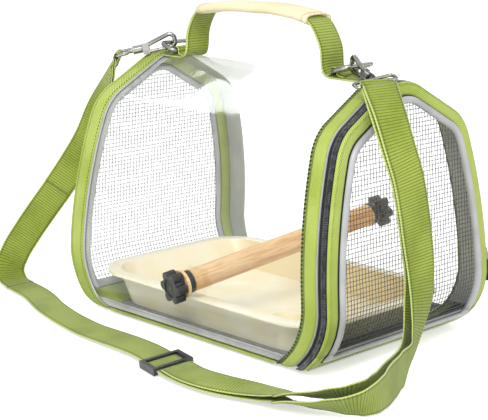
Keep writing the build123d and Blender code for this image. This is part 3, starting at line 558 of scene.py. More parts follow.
@dataclass(frozen=True)
class Finishes:
    """Every finish on the carrier."""

    band: ClothFinish = ClothFinish("green_twill", "#BECE68", "#A6BA4A", "#63761F", Weave.TWILL,
                                    2.4, 0.35)
    webbing: ClothFinish = ClothFinish("green_webbing", "#A2B34A", "#869833", "#4B5912",
                                       Weave.RIBBED, 2.6, 0.7,
                                       lit_edge="#DDE795")
    cord: ClothFinish = ClothFinish("dark_green_cord", "#8FA244", "#76892F", "#2E3A12",
                                    Weave.TWILL, 1.6, 0.4)
    thread: ClothFinish = ClothFinish("pale_thread", "#DCE9A6", "#C3D67C", "#7D9440",
                                      Weave.PLAIN, 0.6, 0.1)
    dark_thread: ClothFinish = ClothFinish("dark_thread", "#42521A", "#33420F", "#141A06",
                                           Weave.PLAIN, 0.6, 0.1)
    seam_thread: ClothFinish = ClothFinish("seam_thread", "#A58F5C", "#8C7746", "#5C4C28",
                                           Weave.PLAIN, 0.6, 0.1)
    tape: ClothFinish = ClothFinish("black_tape", "#26272A", "#18191B", "#050506", Weave.TWILL,
                                    1.0, 0.2)
    lining: ClothFinish = ClothFinish("grey_lining", "#B9BBB4", "#A6A8A2", "#7A7C78",
                                      Weave.PLAIN, 1.0, 0.15)
    base: ClothFinish = ClothFinish("base_fabric", "#4A4C4B", "#3B3D3C", "#1C1D1D", Weave.PLAIN,
                                    1.1, 0.2)
    sleeve: ClothFinish = ClothFinish("cream_sleeve", "#F6ECC8", "#EBDCAC", "#CDB77C",
                                      Weave.PLAIN, 0.9, 0.12, 0.62, 0.15)
    piping: MouldedFinish = MouldedFinish("grey_piping", "#B4B5B7", "#A6A7A9", "#D4D5D6", 0.38,
                                          0.03, 0.2, 0.2)
    hem: MouldedFinish = MouldedFinish("grey_hem", "#A9AAA8", "#8F908E", "#DCDCDA", 0.24, 0.04,
                                       0.6, 0.3)
    tray: MouldedFinish = MouldedFinish("cream_tray", "#FFF9E0", "#FBF1CC", "#FFFDF2", 0.34,
                                        0.02, 0.25, 0.25, 0.0, "#EAD7A4")
    plastic: MouldedFinish = MouldedFinish("black_plastic", "#1B1C1C", "#2A2B2A", "#4A4B48",
                                           0.42, 0.06, 0.1, 0.5)
    teeth: MouldedFinish = MouldedFinish("black_teeth", "#2A2C2E", "#46484B", "#96989B", 0.3,
                                         0.02, 0.2, 0.4)
    net: MouldedFinish = MouldedFinish("dark_net", "#56585A", "#434547", "#85878A", 0.55, 0.02,
                                       0.0, 0.2)
    board: MouldedFinish = MouldedFinish("board", "#6B6C68", "#595A57", "#8B8C88", 0.7, 0.08)
    metal: MetalFinish = MetalFinish("bright_metal", "#A6A5A0", "#353533")
    wood: WoodFinish = WoodFinish("wood", "#F0C78E", "#CF9350",
                                  (0.16246, 0.97401, 0.15782))
    pale_wood: WoodFinish = WoodFinish("pale_wood", "#F0D3A4", "#DDB578",
                                       (0.16246, 0.97401, 0.15782))
    clear: ClearFinish = ClearFinish("clear_sheet", "#EEF6F4")


class Wardrobe:
    """Hands out each finish's material, built on first use."""

    def __init__(self) -> None:
        """Build the shared groups."""
        self.groups = Groups()
        self.finishes = Finishes()
        self.made: dict[str, bpy.types.Material] = {}

    def get(self, finish: object) -> bpy.types.Material:
        """Material of a finish."""
        if finish.name not in self.made:
            self.made[finish.name] = finish.build(self.groups)
        return self.made[finish.name]

    def dress(self, piece: bpy.types.Object, finish: object) -> None:
        """Give a piece one finish, in place of what it has."""
        piece.data.materials.clear()
        piece.data.materials.append(self.get(finish))


# ---- Mesh building
def link(name: str, mesh: bpy.types.Mesh) -> bpy.types.Object:
    """Put a mesh in the scene as an object at the origin."""
    piece = bpy.data.objects.new(name, mesh)
    bpy.context.scene.collection.objects.link(piece)
    return piece


def distances(lines: np.ndarray) -> np.ndarray:
    """Mean distance covered at each station of a grid, along its first direction."""
    steps = np.linalg.norm(np.diff(lines, axis=0), axis=2).mean(axis=1)
    return np.concatenate([[0.0], np.cumsum(steps)])


def lattice(name: str, grid: np.ndarray, ring: bool = False) -> bpy.types.Object:
    """Closed skin over a grid of closed sections.

    Args:
        name: The piece's name.
        grid: Points in millimetres: stations, points round each section, and x, y, z.
        ring: Whether the last station joins the first; otherwise both ends are closed.

    Returns:
        The piece, smooth, with its Run map.
    """
    grid = np.asarray(grid, float)
    rows, columns = grid.shape[:2]
    along = distances(np.concatenate([grid, grid[:1]]) if ring else grid)
    around = distances(np.concatenate([grid, grid[:, :1]], axis=1).transpose(1, 0, 2))
    faces, corners = [], []
    for i in range(rows if ring else rows - 1):
        for j in range(columns):
            a, b = (i + 1) % rows, (j + 1) % columns
            faces.append((i * columns + j, i * columns + b, a * columns + b, a * columns + j))
            corners += [(along[i], around[j]), (along[i], around[j + 1]),
                        (along[i + 1], around[j + 1]), (along[i + 1], around[j])]
    if not ring:
        for i in (0, rows - 1):
            faces.append(tuple(i * columns + j for j in range(columns)))
            corners += [(along[i], around[j]) for j in range(columns)]
    mesh = bpy.data.meshes.new(name)
    mesh.from_pydata([tuple(p) for p in grid.reshape(-1, 3) * MM], [], faces)
    layer = mesh.uv_layers.new(name=RUN_MAP)
    layer.data.foreach_set("uv", (np.array(corners) * MM).ravel())
    work = bmesh.new()
    work.from_mesh(mesh)
    bmesh.ops.recalc_face_normals(work, faces=work.faces)
    work.to_mesh(mesh)
    work.free()
    mesh.shade_smooth()
    return link(name, mesh)


def section(width: float, thickness: float, steps: int = 9, power: float = 6.0,
            rib: float = 0.0) -> list[Flat]:
    """Closed section of a flat band: two faces and rounded edges.

    Args:
        width: Full width.
        thickness: Full thickness.
        steps: Points on each face.
        power: How squarely the faces end at the edges.
        rib: How much the edges stand above the middle.

    Returns:
        Points (across, out of the face), in order round the section.
    """
    share = np.linspace(-1, 1, steps)
    half = thickness / 2 * (1 - 0.75 * np.abs(share) ** power * (np.abs(share) > 0.99))
    half = half + rib * (np.abs(share) > 0.8) * (np.abs(share) < 0.99)
    upper = [(s * width / 2, h) for s, h in zip(share, half)]
    lower = [(s * width / 2, -h) for s, h in zip(share[::-1], half[::-1])]
    return upper + lower


def circle(radius: float, count: int) -> list[Flat]:
    """Points on a circle."""
    return [(radius * math.cos(2 * math.pi * i / count), radius * math.sin(2 * math.pi * i / count))
            for i in range(count)]


def smooth_run(points: np.ndarray, steps: int) -> np.ndarray:
    """Smooth curve through a list of points of any size.

    Args:
        points: The points, one a row.
        steps: Steps between each pair.

    Returns:
        Points on the curve, the given ones among them.
    """
    gaps = np.linalg.norm(np.diff(points[:, :3], axis=0), axis=1)[:, None]
    slopes = np.diff(points, axis=0) / gaps
    middle = (slopes[:-1] * gaps[1:] + slopes[1:] * gaps[:-1]) / (gaps[:-1] + gaps[1:])
    slopes = np.vstack([slopes[:1], middle, slopes[-1:]])
    found = []
    for i, gap in enumerate(gaps[:, 0]):
        for k in range(steps):
            t = k / steps
            found.append((2 * t ** 3 - 3 * t ** 2 + 1) * points[i]
                         + (t ** 3 - 2 * t ** 2 + t) * gap * slopes[i]
                         + (3 * t ** 2 - 2 * t ** 3) * points[i + 1]
                         + (t ** 3 - t ** 2) * gap * slopes[i + 1])
    return np.array(found + [points[-1]])


def rounded(points: Sequence[Flat], radius: float, steps: int = 5) -> np.ndarray:
    """Line whose corners are arcs.

    Args:
        points: The corners, end to end.
        radius: Radius of every arc.
        steps: Points on each arc, less one.

    Returns:
        The line's points, with a few on each straight run.
    """
    corners = [np.array(p, float) for p in points]
    line = [corners[0]]
    for before, corner, after in zip(corners, corners[1:], corners[2:]):
        a = (before - corner) / np.linalg.norm(before - corner)
        b = (after - corner) / np.linalg.norm(after - corner)
        half = math.acos(max(-1.0, min(1.0, float(a @ b)))) / 2
        reach = radius / math.tan(half)
        start, end = corner + a * reach, corner + b * reach
        for k in range(steps + 1):
            t = k / steps
            line.append(start * (1 - t) ** 2 + corner * 2 * t * (1 - t) + end * t ** 2)
    line.append(corners[-1])
    fine = [line[0]]
    for p in line[1:]:
        count = max(1, int(np.linalg.norm(p - fine[-1]) / 6))
        start = fine[-1]
        fine += [start + (p - start) * (k + 1) / count for k in range(count)]
    return np.array(fine)


def sweep(name: str, line: np.ndarray, across: np.ndarray, shape: Sequence[Flat],
          ring: bool = False) -> bpy.types.Object:
    """Section carried along a line.

    Args:
        name: The piece's name.
        line: Points of the line, in millimetres.
        across: Width direction at each point, or one for all.
        shape: Section points (across, out of the face).
        ring: Whether the line closes on itself.

    Returns:
        The piece.
    """
    across = np.broadcast_to(across, line.shape)
    if ring:
        run = np.roll(line, -1, axis=0) - np.roll(line, 1, axis=0)
    else:
        run = np.gradient(line, axis=0)
    run = run / np.linalg.norm(run, axis=1)[:, None]
    wide = across - run * (across * run).sum(axis=1)[:, None]
    wide = wide / np.linalg.norm(wide, axis=1)[:, None]
    out = np.cross(run, wide)
    grid = [[line[i] + wide[i] * a + out[i] * b for a, b in shape] for i in range(len(line))]
    return lattice(name, np.array(grid), ring)


# ---- Repeats made by geometry nodes
class Repeats:
    """Node trees that lay beads along a line, or turn lines into wire."""

    def __init__(self) -> None:
        """Build both trees."""
        self.beads = self.bead_tree()
        self.wires = self.wire_tree()

    @staticmethod
    def start(name: str, inputs: Sequence[tuple[str, str]]) -> tuple[Desk, bpy.types.Node,
                                                                      bpy.types.Node]:
        """Start a geometry tree.

        Args:
            name: The tree's name.
            inputs: Name and socket type of each input after the geometry.

        Returns:
            A desk on the tree, its input node and its output node.
        """
        tree = bpy.data.node_groups.new(name, "GeometryNodeTree")
        tree.interface.new_socket("Geometry", in_out="INPUT", socket_type="NodeSocketGeometry")
        for label, kind in inputs:
            tree.interface.new_socket(label, in_out="INPUT", socket_type=kind)
        tree.interface.new_socket("Geometry", in_out="OUTPUT", socket_type="NodeSocketGeometry")
        desk = Desk(tree)
        return desk, desk.add("NodeGroupInput"), desk.add("NodeGroupOutput")

    @staticmethod
    def close(desk: Desk, given: bpy.types.Node, made: bpy.types.Node,
              geometry: bpy.types.NodeSocket) -> bpy.types.NodeTree:
        """End a tree in Realize Instances, smooth faces and Set Material."""
        real = desk.add("GeometryNodeRealizeInstances", {0: geometry})
        smooth = desk.add("GeometryNodeSetShadeSmooth", {0: real.outputs[0]})
        dressed = desk.add("GeometryNodeSetMaterial", {0: smooth.outputs[0],
                                                       "Material": given.outputs["Material"]})
        desk.tree.links.new(dressed.outputs[0], made.inputs[0])
        return desk.tree

    def bead_tree(self) -> bpy.types.NodeTree:
        """Tree that lays beads, such as stitches or zipper teeth, along the edges given."""
        desk, given, made = self.start("beads_along_line", [
            ("Pitch", "NodeSocketFloat"), ("Size", "NodeSocketVector"),
            ("Side Axis", "NodeSocketVector"), ("Outward", "NodeSocketVector"),
            ("Slant", "NodeSocketFloat"),
            ("Material", "NodeSocketMaterial")])
        curve = desk.add("GeometryNodeMeshToCurve", {0: given.outputs["Geometry"]})
        even = desk.add("GeometryNodeResampleCurve", {"Curve": curve.outputs[0],
                                                      "Length": given.outputs["Pitch"]},
                        mode="LENGTH")
        bead = desk.add("GeometryNodeMeshUVSphere", {"Segments": 6, "Rings": 5, "Radius": 0.5})
        tangent = desk.add("GeometryNodeInputTangent").outputs[0]
        crossed = desk.add("ShaderNodeVectorMath", {0: tangent, 1: given.outputs["Side Axis"]},
                           operation="CROSS_PRODUCT").outputs[0]
        outward = desk.add("ShaderNodeVectorMath", {0: crossed, 1: given.outputs["Outward"]},
                           operation="ADD").outputs[0]
        first = desk.add("FunctionNodeAlignRotationToVector", {"Vector": tangent}, axis="X")
        turned = desk.add("FunctionNodeAlignRotationToVector",
                          {"Rotation": first.outputs[0], "Vector": outward},
                          axis="Z", pivot_axis="X")
        slant = desk.add("FunctionNodeAxisAngleToRotation",
                         {"Axis": (0.0, 0.0, 1.0), "Angle": given.outputs["Slant"]})
        leaning = desk.add("FunctionNodeRotateRotation",
                           {0: turned.outputs[0], 1: slant.outputs[0]}, rotation_space="LOCAL")
        laid = desk.add("GeometryNodeInstanceOnPoints",
                        {"Points": even.outputs[0], "Instance": bead.outputs[0],
                         "Rotation": leaning.outputs[0], "Scale": given.outputs["Size"]})
        return self.close(desk, given, made, laid.outputs[0])

    def wire_tree(self) -> bpy.types.NodeTree:
        """Tree that turns the edges given into thin wire."""
        desk, given, made = self.start("wire_on_line", [
            ("Radius", "NodeSocketFloat"), ("Material", "NodeSocketMaterial")])
        curve = desk.add("GeometryNodeMeshToCurve", {0: given.outputs["Geometry"]})
        profile = desk.add("GeometryNodeCurvePrimitiveCircle",
                           {"Resolution": 5, "Radius": given.outputs["Radius"]})
        tube = desk.add("GeometryNodeCurveToMesh", {0: curve.outputs[0],
                                                    1: profile.outputs[0],
                                                    "Fill Caps": True})
        return self.close(desk, given, made, tube.outputs[0])

    @staticmethod
    def lines(name: str, runs: Sequence[np.ndarray], ring: bool) -> bpy.types.Object:
        """Object of bare edges along each run of points, in millimetres."""
        points, edges = [], []
        for run in runs:
            start = len(points)
            points += [tuple(p) for p in np.asarray(run) * MM]
            edges += [(start + i, start + i + 1) for i in range(len(run) - 1)]
            if ring:
                edges.append((len(points) - 1, start))
        mesh = bpy.data.meshes.new(name)
        mesh.from_pydata(points, edges, [])
        return link(name, mesh)

    @staticmethod
    def harvest(name: str, source: bpy.types.Object, tree: bpy.types.NodeTree,
                values: dict[str, object]) -> bpy.types.Object:
        """Run a tree on an object and keep the result as a plain mesh.

        Args:
            name: The finished piece's name.
            source: The object of bare edges, which is used up.
            tree: The geometry tree.
            values: The tree's inputs by name.

        Returns:
            The finished piece.
        """
        modifier = source.modifiers.new("repeat", "NODES")
        modifier.node_group = tree
        for item in tree.interface.items_tree:
            if item.in_out == "INPUT" and item.name in values:
                modifier[item.identifier] = values[item.name]
        source.update_tag()
        graph = bpy.context.evaluated_depsgraph_get()
        mesh = bpy.data.meshes.new_from_object(source.evaluated_get(graph))
        mesh.name = name
        bpy.data.objects.remove(source)
        return link(name, mesh)

    def bead_row(self, name: str, runs: Sequence[np.ndarray], material: bpy.types.Material,
                 pitch: float, size: Point, side_axis: Point, slant: float = 0.0,
                 ring: bool = False, outward: Point = (0.0, 0.0, 0.0)) -> bpy.types.Object:
        """Beads along lines.

        Args:
            name: The piece's name.
            runs: Lines of points in millimetres.
            material: The beads' material.
            pitch: Distance between beads.
            size: Bead length, width and height.
            side_axis: Direction across the line, in the face it lies on.
            slant: Turn of each bead in the face.
            ring: Whether each line closes.
            outward: Out of the face, where no one direction lies across the line.

        Returns:
            The piece.
        """
        source = self.lines(name + "_line", runs, ring)
        return self.harvest(name, source, self.beads, {
            "Pitch": pitch * MM, "Size": tuple(v * MM for v in size), "Side Axis": side_axis,
            "Outward": outward, "Slant": math.radians(slant), "Material": material})

    def wire_rows(self, name: str, runs: Sequence[np.ndarray], material: bpy.types.Material,
                  thickness: float) -> bpy.types.Object:
        """Wires along lines of points in millimetres."""
        source = self.lines(name + "_line", runs, False)
        return self.harvest(name, source, self.wires,
                            {"Radius": thickness / 2 * MM, "Material": material})


# ---- Body form
@dataclass(frozen=True)
class BodyForm:
    """The arched outline across the body and the leaning, tucked-in curve of each end."""

    half_width: float = 105.5
    widest_height: float = 57.0
    height: float = 239.0
    base_corner: float = 14.0
    least_corner: float = 3.0
    shoulder_radius: float = 42.0
    crown_radius: float = 45.0
    side_lean: float = 18.0
    roof_angle: float = 61.0
    end_corner: float = 62.0
    end_lean: float = 4.8
    tuck_height: float = 64.0
    lift: float = 2.2
    upright_heights: tuple[float, ...] = (22.0, 22.5, 30.0, 40.0, 50.0)

    def bow(self) -> float:
        """Radius of the bowed side."""
        a1, a2 = math.radians(self.side_lean), math.radians(self.roof_angle)
        across = (self.half_width - self.shoulder_radius * (math.cos(a1) - math.cos(a2))
                  - self.crown_radius * math.cos(a2))
        upward = (self.height - self.crown_radius * (1 - math.sin(a2)) - self.widest_height
                  - self.shoulder_radius * (math.sin(a2) - math.sin(a1)))
        share = math.cos(a2) / math.sin(a2)
        return (upward - across * share) / (math.sin(a1) - (1 - math.cos(a1)) * share)

    def half(self, grow: float) -> list[Flat]:
        """The +Y half of the outline, from the bottom's middle to the crown.

        Args:
            grow: Distance outwards from the clear wrap's outer face.

        Returns:
            Points (y, z), as many for every growth.
        """
        bow = self.bow()
        lean = math.radians(self.side_lean)
        size = max(self.base_corner + grow, self.least_corner)
        corner = (self.half_width + grow - size, self.lift - grow + size)
        bowed = (self.half_width - bow, self.widest_height)
        shoulder = (bowed[0] + (bow - self.shoulder_radius) * math.cos(lean),
                    bowed[1] + (bow - self.shoulder_radius) * math.sin(lean))
        crown = (0.0, self.height - self.crown_radius)

        def arc(centre: Flat, radius: float, start: float, end: float, count: int) -> list[Flat]:
            """Points on an arc, both ends among them."""
            angles = np.radians(np.linspace(start, end, count))
            return [(centre[0] + radius * math.cos(a), centre[1] + radius * math.sin(a))
                    for a in angles]

        points = [(corner[0] * t, self.lift - grow) for t in np.linspace(0, 1, 11)[:-1]]
        points += arc(corner, size, -90, 0, 9)
        floor = points[-1][1]
        points += [(self.half_width + grow, max(z, floor + 0.05 * (i + 1)))
                   for i, z in enumerate(self.upright_heights)]
        points += arc(bowed, bow + grow, 0, self.side_lean, 12)
        points += arc(shoulder, self.shoulder_radius + grow, self.side_lean, self.roof_angle,
                      13)[1:]
        top = arc(crown, self.crown_radius + grow, self.roof_angle, 90, 10)
        start, end = np.array(points[-1]), np.array(top[0])
        points += [tuple(start + (end - start) * t) for t in np.linspace(0, 1, 6)[1:-1]]
        return points + top

    def loop(self, grow: float) -> np.ndarray:
        """The whole outline as points (y, z), from the bottom's middle up the +Y side and round."""
        half = self.half(grow)
        return np.array(half + [(-y, z) for y, z in half[-2:0:-1]])

    def upright(self, height: float) -> int:
        """Station on the +Y side at one of the named upright heights."""
        return 19 + self.upright_heights.index(height)

    def above(self, height: float) -> list[int]:
        """Stations from an upright height on the +Y side, over the top, to the same on -Y."""
        count = len(self.loop(0.0))
        first = self.upright(height)
        return list(range(first, count - first + 1))

    def below(self, height: float) -> list[int]:
        """Stations from an upright height on the -Y side, under the base, to the same on +Y."""
        count = len(self.loop(0.0))
        last = self.upright(height)
        return list(range(count - last, count)) + list(range(last + 1))

    def end_x(self, x: float, end: End, z: float) -> float:
        """Where an end curve stands at a height.

        Args:
            x: The curve's place at the tuck height.
            end: The end that it belongs to.
            z: The height.

        Returns:
            Its place along X.
        """
        lean = math.radians(self.end_lean)
        if z >= self.tuck_height:
            return x - end.value * (z - self.tuck_height) * math.tan(lean)
        centre = self.tuck_height - self.end_corner * math.sin(lean)
        reach = math.sqrt(max(self.end_corner ** 2 - (centre - z) ** 2, 0.0))
        return x + end.value * (reach - self.end_corner * math.cos(lean))

    def ring(self, end: End, profile: Sequence[Flat], stations: Sequence[int] | None = None
             ) -> np.ndarray:
        """Grid of a profile carried round the outline.

        Args:
            end: The end whose curve gives the places along X.
            profile: Closed section as (place along X at the tuck height, growth).
            stations: Outline stations, or all of them.

        Returns:
            The grid.
        """
        loops = [self.loop(grow) for _, grow in profile]
        stations = range(len(loops[0])) if stations is None else stations
        return np.array([[(self.end_x(x, end, loops[k][s][1]), *loops[k][s])
                          for k, (x, _) in enumerate(profile)] for s in stations])

    def line(self, end: End, x: float, grow: float, stations: Sequence[int] | None = None
             ) -> np.ndarray:
        """Line round the outline at one place and growth."""
        return self.ring(end, [(x, grow)], stations)[:, 0]


def band_profile(start: float, stop: float, low: float, high: float, steps: int = 9,
                 roll: float = 0.55) -> list[Flat]:
    """Section of a band that lies round the body.

    Args:
        start: Its first edge along X.
        stop: Its other edge along X.
        low: Growth of its under face.
        high: Growth of its outer face.
        steps: Points across.
        roll: How far its edges roll down, as a share of its thickness.

    Returns:
        Closed section (x, growth).
    """
    share = np.linspace(-1, 1, steps)
    middle, half = (start + stop) / 2, (stop - start) / 2
    upper = [(middle + half * s, high - (high - low) * roll * abs(s) ** 5) for s in share]
    lower = [(middle + half * s, low) for s in share[::-1]]
    return upper + lower


def face_profile(base: float, face: float, low: float, high: float, steps: int = 9,
                 roll: float = 0.5) -> list[Flat]:
    """Section of a band that lies on an end face.

    Args:
        base: Place of its back along X.
        face: Place of its face along X.
        low: Growth of its inner edge.
        high: Growth of its outer edge.
        steps: Points across.
        roll: How far its edges roll back, as a share of its thickness.

    Returns:
        Closed section (x, growth).
    """
    share = np.linspace(-1, 1, steps)
    middle, half = (low + high) / 2, (high - low) / 2
    front = [(face - (face - base) * roll * abs(s) ** 5, middle + half * s) for s in share]
    back = [(base, middle + half * s) for s in share[::-1]]
    return front + back


class Workshop:
    """What every sub-assembly shares: the body form, the finishes, the repeats and the frame."""

    def __init__(self, frame: dict) -> None:
        """Keep the frame and build the shared tools."""
        self.frame = frame
        self.form = BodyForm()
        self.wardrobe = Wardrobe()
        self.finish = self.wardrobe.finishes
        self.repeats = Repeats()

    def place(self, piece: bpy.types.Object, finish: object | None, body: str,
              nodes: Sequence[str] = (), slot: str | None = None) -> bpy.types.Object:
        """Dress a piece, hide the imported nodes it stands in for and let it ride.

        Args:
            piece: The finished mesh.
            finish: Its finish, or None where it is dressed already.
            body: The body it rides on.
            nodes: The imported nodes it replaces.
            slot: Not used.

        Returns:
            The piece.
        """
        if finish is not None:
            self.wardrobe.dress(piece, finish)
        if nodes:
            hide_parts(*nodes)
        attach(piece, body)
        log.info("%s: %d faces on %s", piece.name, len(piece.data.polygons), body)
        return piece

    def keep(self, finish: object, *nodes: str) -> None:
        """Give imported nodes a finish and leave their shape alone."""
        for node in nodes:
            self.wardrobe.dress(self.frame["nodes"][node], finish)
            log.info("%s: packed shape, %s", node, finish.name)

    def soften(self, node: str, finish: object, body: str, edge: float,
               slot: str) -> bpy.types.Object:
        """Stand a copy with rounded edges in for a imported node.

        Args:
            node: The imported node.
            finish: The copy's finish.
            body: The body it rides on.
            edge: Width of the rounding, in millimetres.
            slot: The record's material slot.

        Returns:
            The copy.
        """
        mesh = self.frame["nodes"][node].data.copy()
        work = bmesh.new()
        work.from_mesh(mesh)
        bmesh.ops.remove_doubles(work, verts=work.verts, dist=2e-5)
        bmesh.ops.dissolve_limit(work, angle_limit=math.radians(0.5), verts=work.verts,
                                 edges=work.edges)
        sharp = [e for e in work.edges if len(e.link_faces) == 2
                 and e.calc_face_angle(0.0) > math.radians(40)]
        bmesh.ops.bevel(work, geom=sharp, offset=edge * MM, segments=2, profile=0.6,
                        affect="EDGES", clamp_overlap=True)
        bmesh.ops.recalc_face_normals(work, faces=work.faces)
        work.to_mesh(mesh)
        work.free()
        piece = link(node + "_finished", mesh)
        mesh.shade_smooth()
        mesh.set_sharp_from_angle(angle=math.radians(38))
        return self.place(piece, finish, body, (node,), slot)


# ---- Sub-assemblies
@dataclass(frozen=True)
class ClearTunnel:
    """Clear wrap, its bound hems, the piping along the base, and the base itself."""

    left_seam: float = -143.0
    right_seam: float = 143.0
    wrap_left: float = -151.4
    wrap_right: float = 153.4
    wrap_thickness: float = 0.6
    wrap_bottom: float = 5.0
    hem_bottom: float = 6.2
    hem_top: float = 15.0
    hem_thickness: float = 1.3
    cover_half_width: float = 97.6
    cover_height: float = 4.2
    hole_radius: float = 10.8
    perch_front: Point = (2.0, -105.5, 54.0)
    perch_back: Point = (37.0, 104.34, 88.0)

    def build(self, shop: Workshop) -> None:
        """Make every piece."""
        self.wrap(shop)
        for side, label in ((-1, "front"), (1, "back")):
            self.hem(shop, side, label)
            self.piping(shop, side, label)
        self.cover(shop)
        shop.keep(shop.finish.board, "base_board")

    def strip(self, shop: Workshop, left: float, right: float, outer: Sequence[Flat],
              inner: Sequence[Flat], count: int) -> np.ndarray:
        """Grid of a sheet that runs the length of the tunnel.

        Args:
            shop: The workshop.
            left: Its left edge at the tuck height.
            right: Its right edge at the tuck height.
            outer: Outer line across the sheet, as (y, z).
            inner: Inner line, as many points.
            count: Points along the tunnel.

        Returns:
            The grid, with a closed section at each point of the line.
        """
        grid = []
        for (y1, z1), (y2, z2) in zip(outer, inner):
            row = []
            for y, z, shares in ((y1, z1, np.linspace(0, 1, count)),
                                 (y2, z2, np.linspace(1, 0, count))):
                a = shop.form.end_x(left, End.LEFT, z)
                b = shop.form.end_x(right, End.RIGHT, z)
                row += [(a + (b - a) * t, y, z) for t in shares]
            grid.append(row)
        return np.array(grid)

    def wrap(self, shop: Workshop) -> None:
        """Clear sheet over the front, the top and the back, with the perch's two holes."""
        outer, inner = shop.form.loop(0.0), shop.form.loop(-self.wrap_thickness)
        keep = [i for i in range(len(outer)) if outer[i][1] > self.wrap_bottom]
        grid = self.strip(shop, self.wrap_left, self.wrap_right, outer[keep], inner[keep], 24)
        piece = lattice("clear_wrap_sheet", grid)
        start, end = Vector(self.perch_front), Vector(self.perch_back)
        along = (end - start).normalized()
        cutter_mesh = bpy.data.meshes.new("hole_cutter")
        work = bmesh.new()
        bmesh.ops.create_cone(work, cap_ends=True, segments=48, radius1=self.hole_radius * MM,
                              radius2=self.hole_radius * MM, depth=(end - start).length * 1.4 * MM)
        turn = Vector((0, 0, 1)).rotation_difference(along).to_matrix().to_4x4()
        work.transform(Matrix.Translation((start + end) / 2 * MM) @ turn)
        work.to_mesh(cutter_mesh)
        work.free()
        cutter = link("hole_cutter", cutter_mesh)
        cut = piece.modifiers.new("holes", "BOOLEAN")
        cut.object, cut.operation, cut.solver = cutter, "DIFFERENCE", "EXACT"
        graph = bpy.context.evaluated_depsgraph_get()
        mesh = bpy.data.meshes.new_from_object(piece.evaluated_get(graph))
        piece.modifiers.clear()
        piece.data = mesh
        bpy.data.objects.remove(cutter)
        mesh.shade_smooth()
        mesh.set_sharp_from_angle(angle=math.radians(40))
        shop.place(piece, shop.finish.clear, "carrier", ("clear_wrap",), "clear_sheet")

    def hem(self, shop: Workshop, side: int, label: str) -> None:
        """Bound lower edge of one clear panel.

        Args:
            shop: The workshop.
            side: -1 for the front, 1 for the back.
            label: The side's name.
        """
        outline = shop.form.loop(0.2)
        line = [p for p in outline if p[0] * side > 60 and 4.0 < p[1] < 23.0]
        line = sorted(line, key=lambda p: p[1])
        levels = np.linspace(self.hem_bottom, self.hem_top, 7)
        zs = [p[1] for p in line]
        ys = [p[0] for p in line]
        inner = [(float(np.interp(z, zs, ys)), float(z)) for z in levels]
        rise = [1 - 0.6 * abs(2 * k / 6 - 1) ** 4 for k in range(7)]
        outer = [(y + side * self.hem_thickness * r, z) for (y, z), r in zip(inner, rise)]
        grid = self.strip(shop, self.left_seam + 0.6, self.right_seam - 0.6, outer, inner, 30)
        piece = lattice(f"{label}_hem", grid)
        shop.place(piece, shop.finish.hem, "carrier", (f"{label}_hem_binding",), "grey_lining")
        rows = []
        for z in (self.hem_top - 1.8,):
            y = float(np.interp(z, zs, ys)) + side * self.hem_thickness
            xs = np.linspace(shop.form.end_x(self.left_seam + 3, End.LEFT, z),
                             shop.form.end_x(self.right_seam - 3, End.RIGHT, z), 30)
            rows.append(np.array([(x, y, z) for x in xs]))
        stitches = shop.repeats.bead_row(f"{label}_hem_stitches", rows,
                                         shop.wardrobe.get(shop.finish.lining), 3.2,
                                         (2.2, 0.5, 0.4), (0.0, 0.0, 1.0))
        shop.place(stitches, None, "carrier", slot="grey_lining")

    def piping(self, shop: Workshop, side: int, label: str) -> None:
        """Green piping along one lower edge: a cord under cloth."""
        centre, long_axis, short_axis = (100.6, 3.35), 3.4, 2.3
        tilt = math.radians(34)
        ring = []
        for a, b in circle(1.0, 12):
            u, v = a * long_axis, b * short_axis * 0.62
            y = centre[0] + u * math.cos(tilt) - v * math.sin(tilt)
            z = centre[1] + u * math.sin(tilt) + v * math.cos(tilt)
            ring.append((y * side, max(z, 0.05)))
        count = 60
        grid = []
        for t in np.linspace(0, 1, count):
            row = []
            for y, z in ring:
                a = shop.form.end_x(self.left_seam + 0.6, End.LEFT, z)
                b = shop.form.end_x(self.right_seam - 0.6, End.RIGHT, z)
                row.append((a + (b - a) * t, y, z))
            grid.append(row)
        piece = lattice(f"{label}_base_cord", np.array(grid))
        shop.place(piece, shop.finish.band, "carrier", (f"{label}_base_piping",), "green_twill")

    def cover(self, shop: Workshop) -> None:
        """Padded fabric bottom."""
        bottom = [p for p in shop.form.loop(shop.form.lift) if abs(p[0]) <= self.cover_half_width
                  and p[1] < self.cover_height]
        bottom = sorted(bottom, key=lambda p: p[0])
        edge = self.cover_half_width
        line = [(-edge, 1.3)] + [(p[0], max(p[1], 0.0)) for p in bottom] + [(edge, 1.3)]
        top = [(y, self.cover_height) for y, _ in line]
        grid = []
        for t in np.linspace(0, 1, 40):
            row = []
            for y, z in line + top[::-1]:
                a = shop.form.end_x(self.left_seam + 1, End.LEFT, z)
                b = shop.form.end_x(self.right_seam - 1, End.RIGHT, z)
                row.append((a + (b - a) * t, y, z))
            grid.append(row)
        piece = lattice("base_padding", np.array(grid))
        shop.place(piece, shop.finish.base, "carrier", ("base_cover",), "base_fabric")


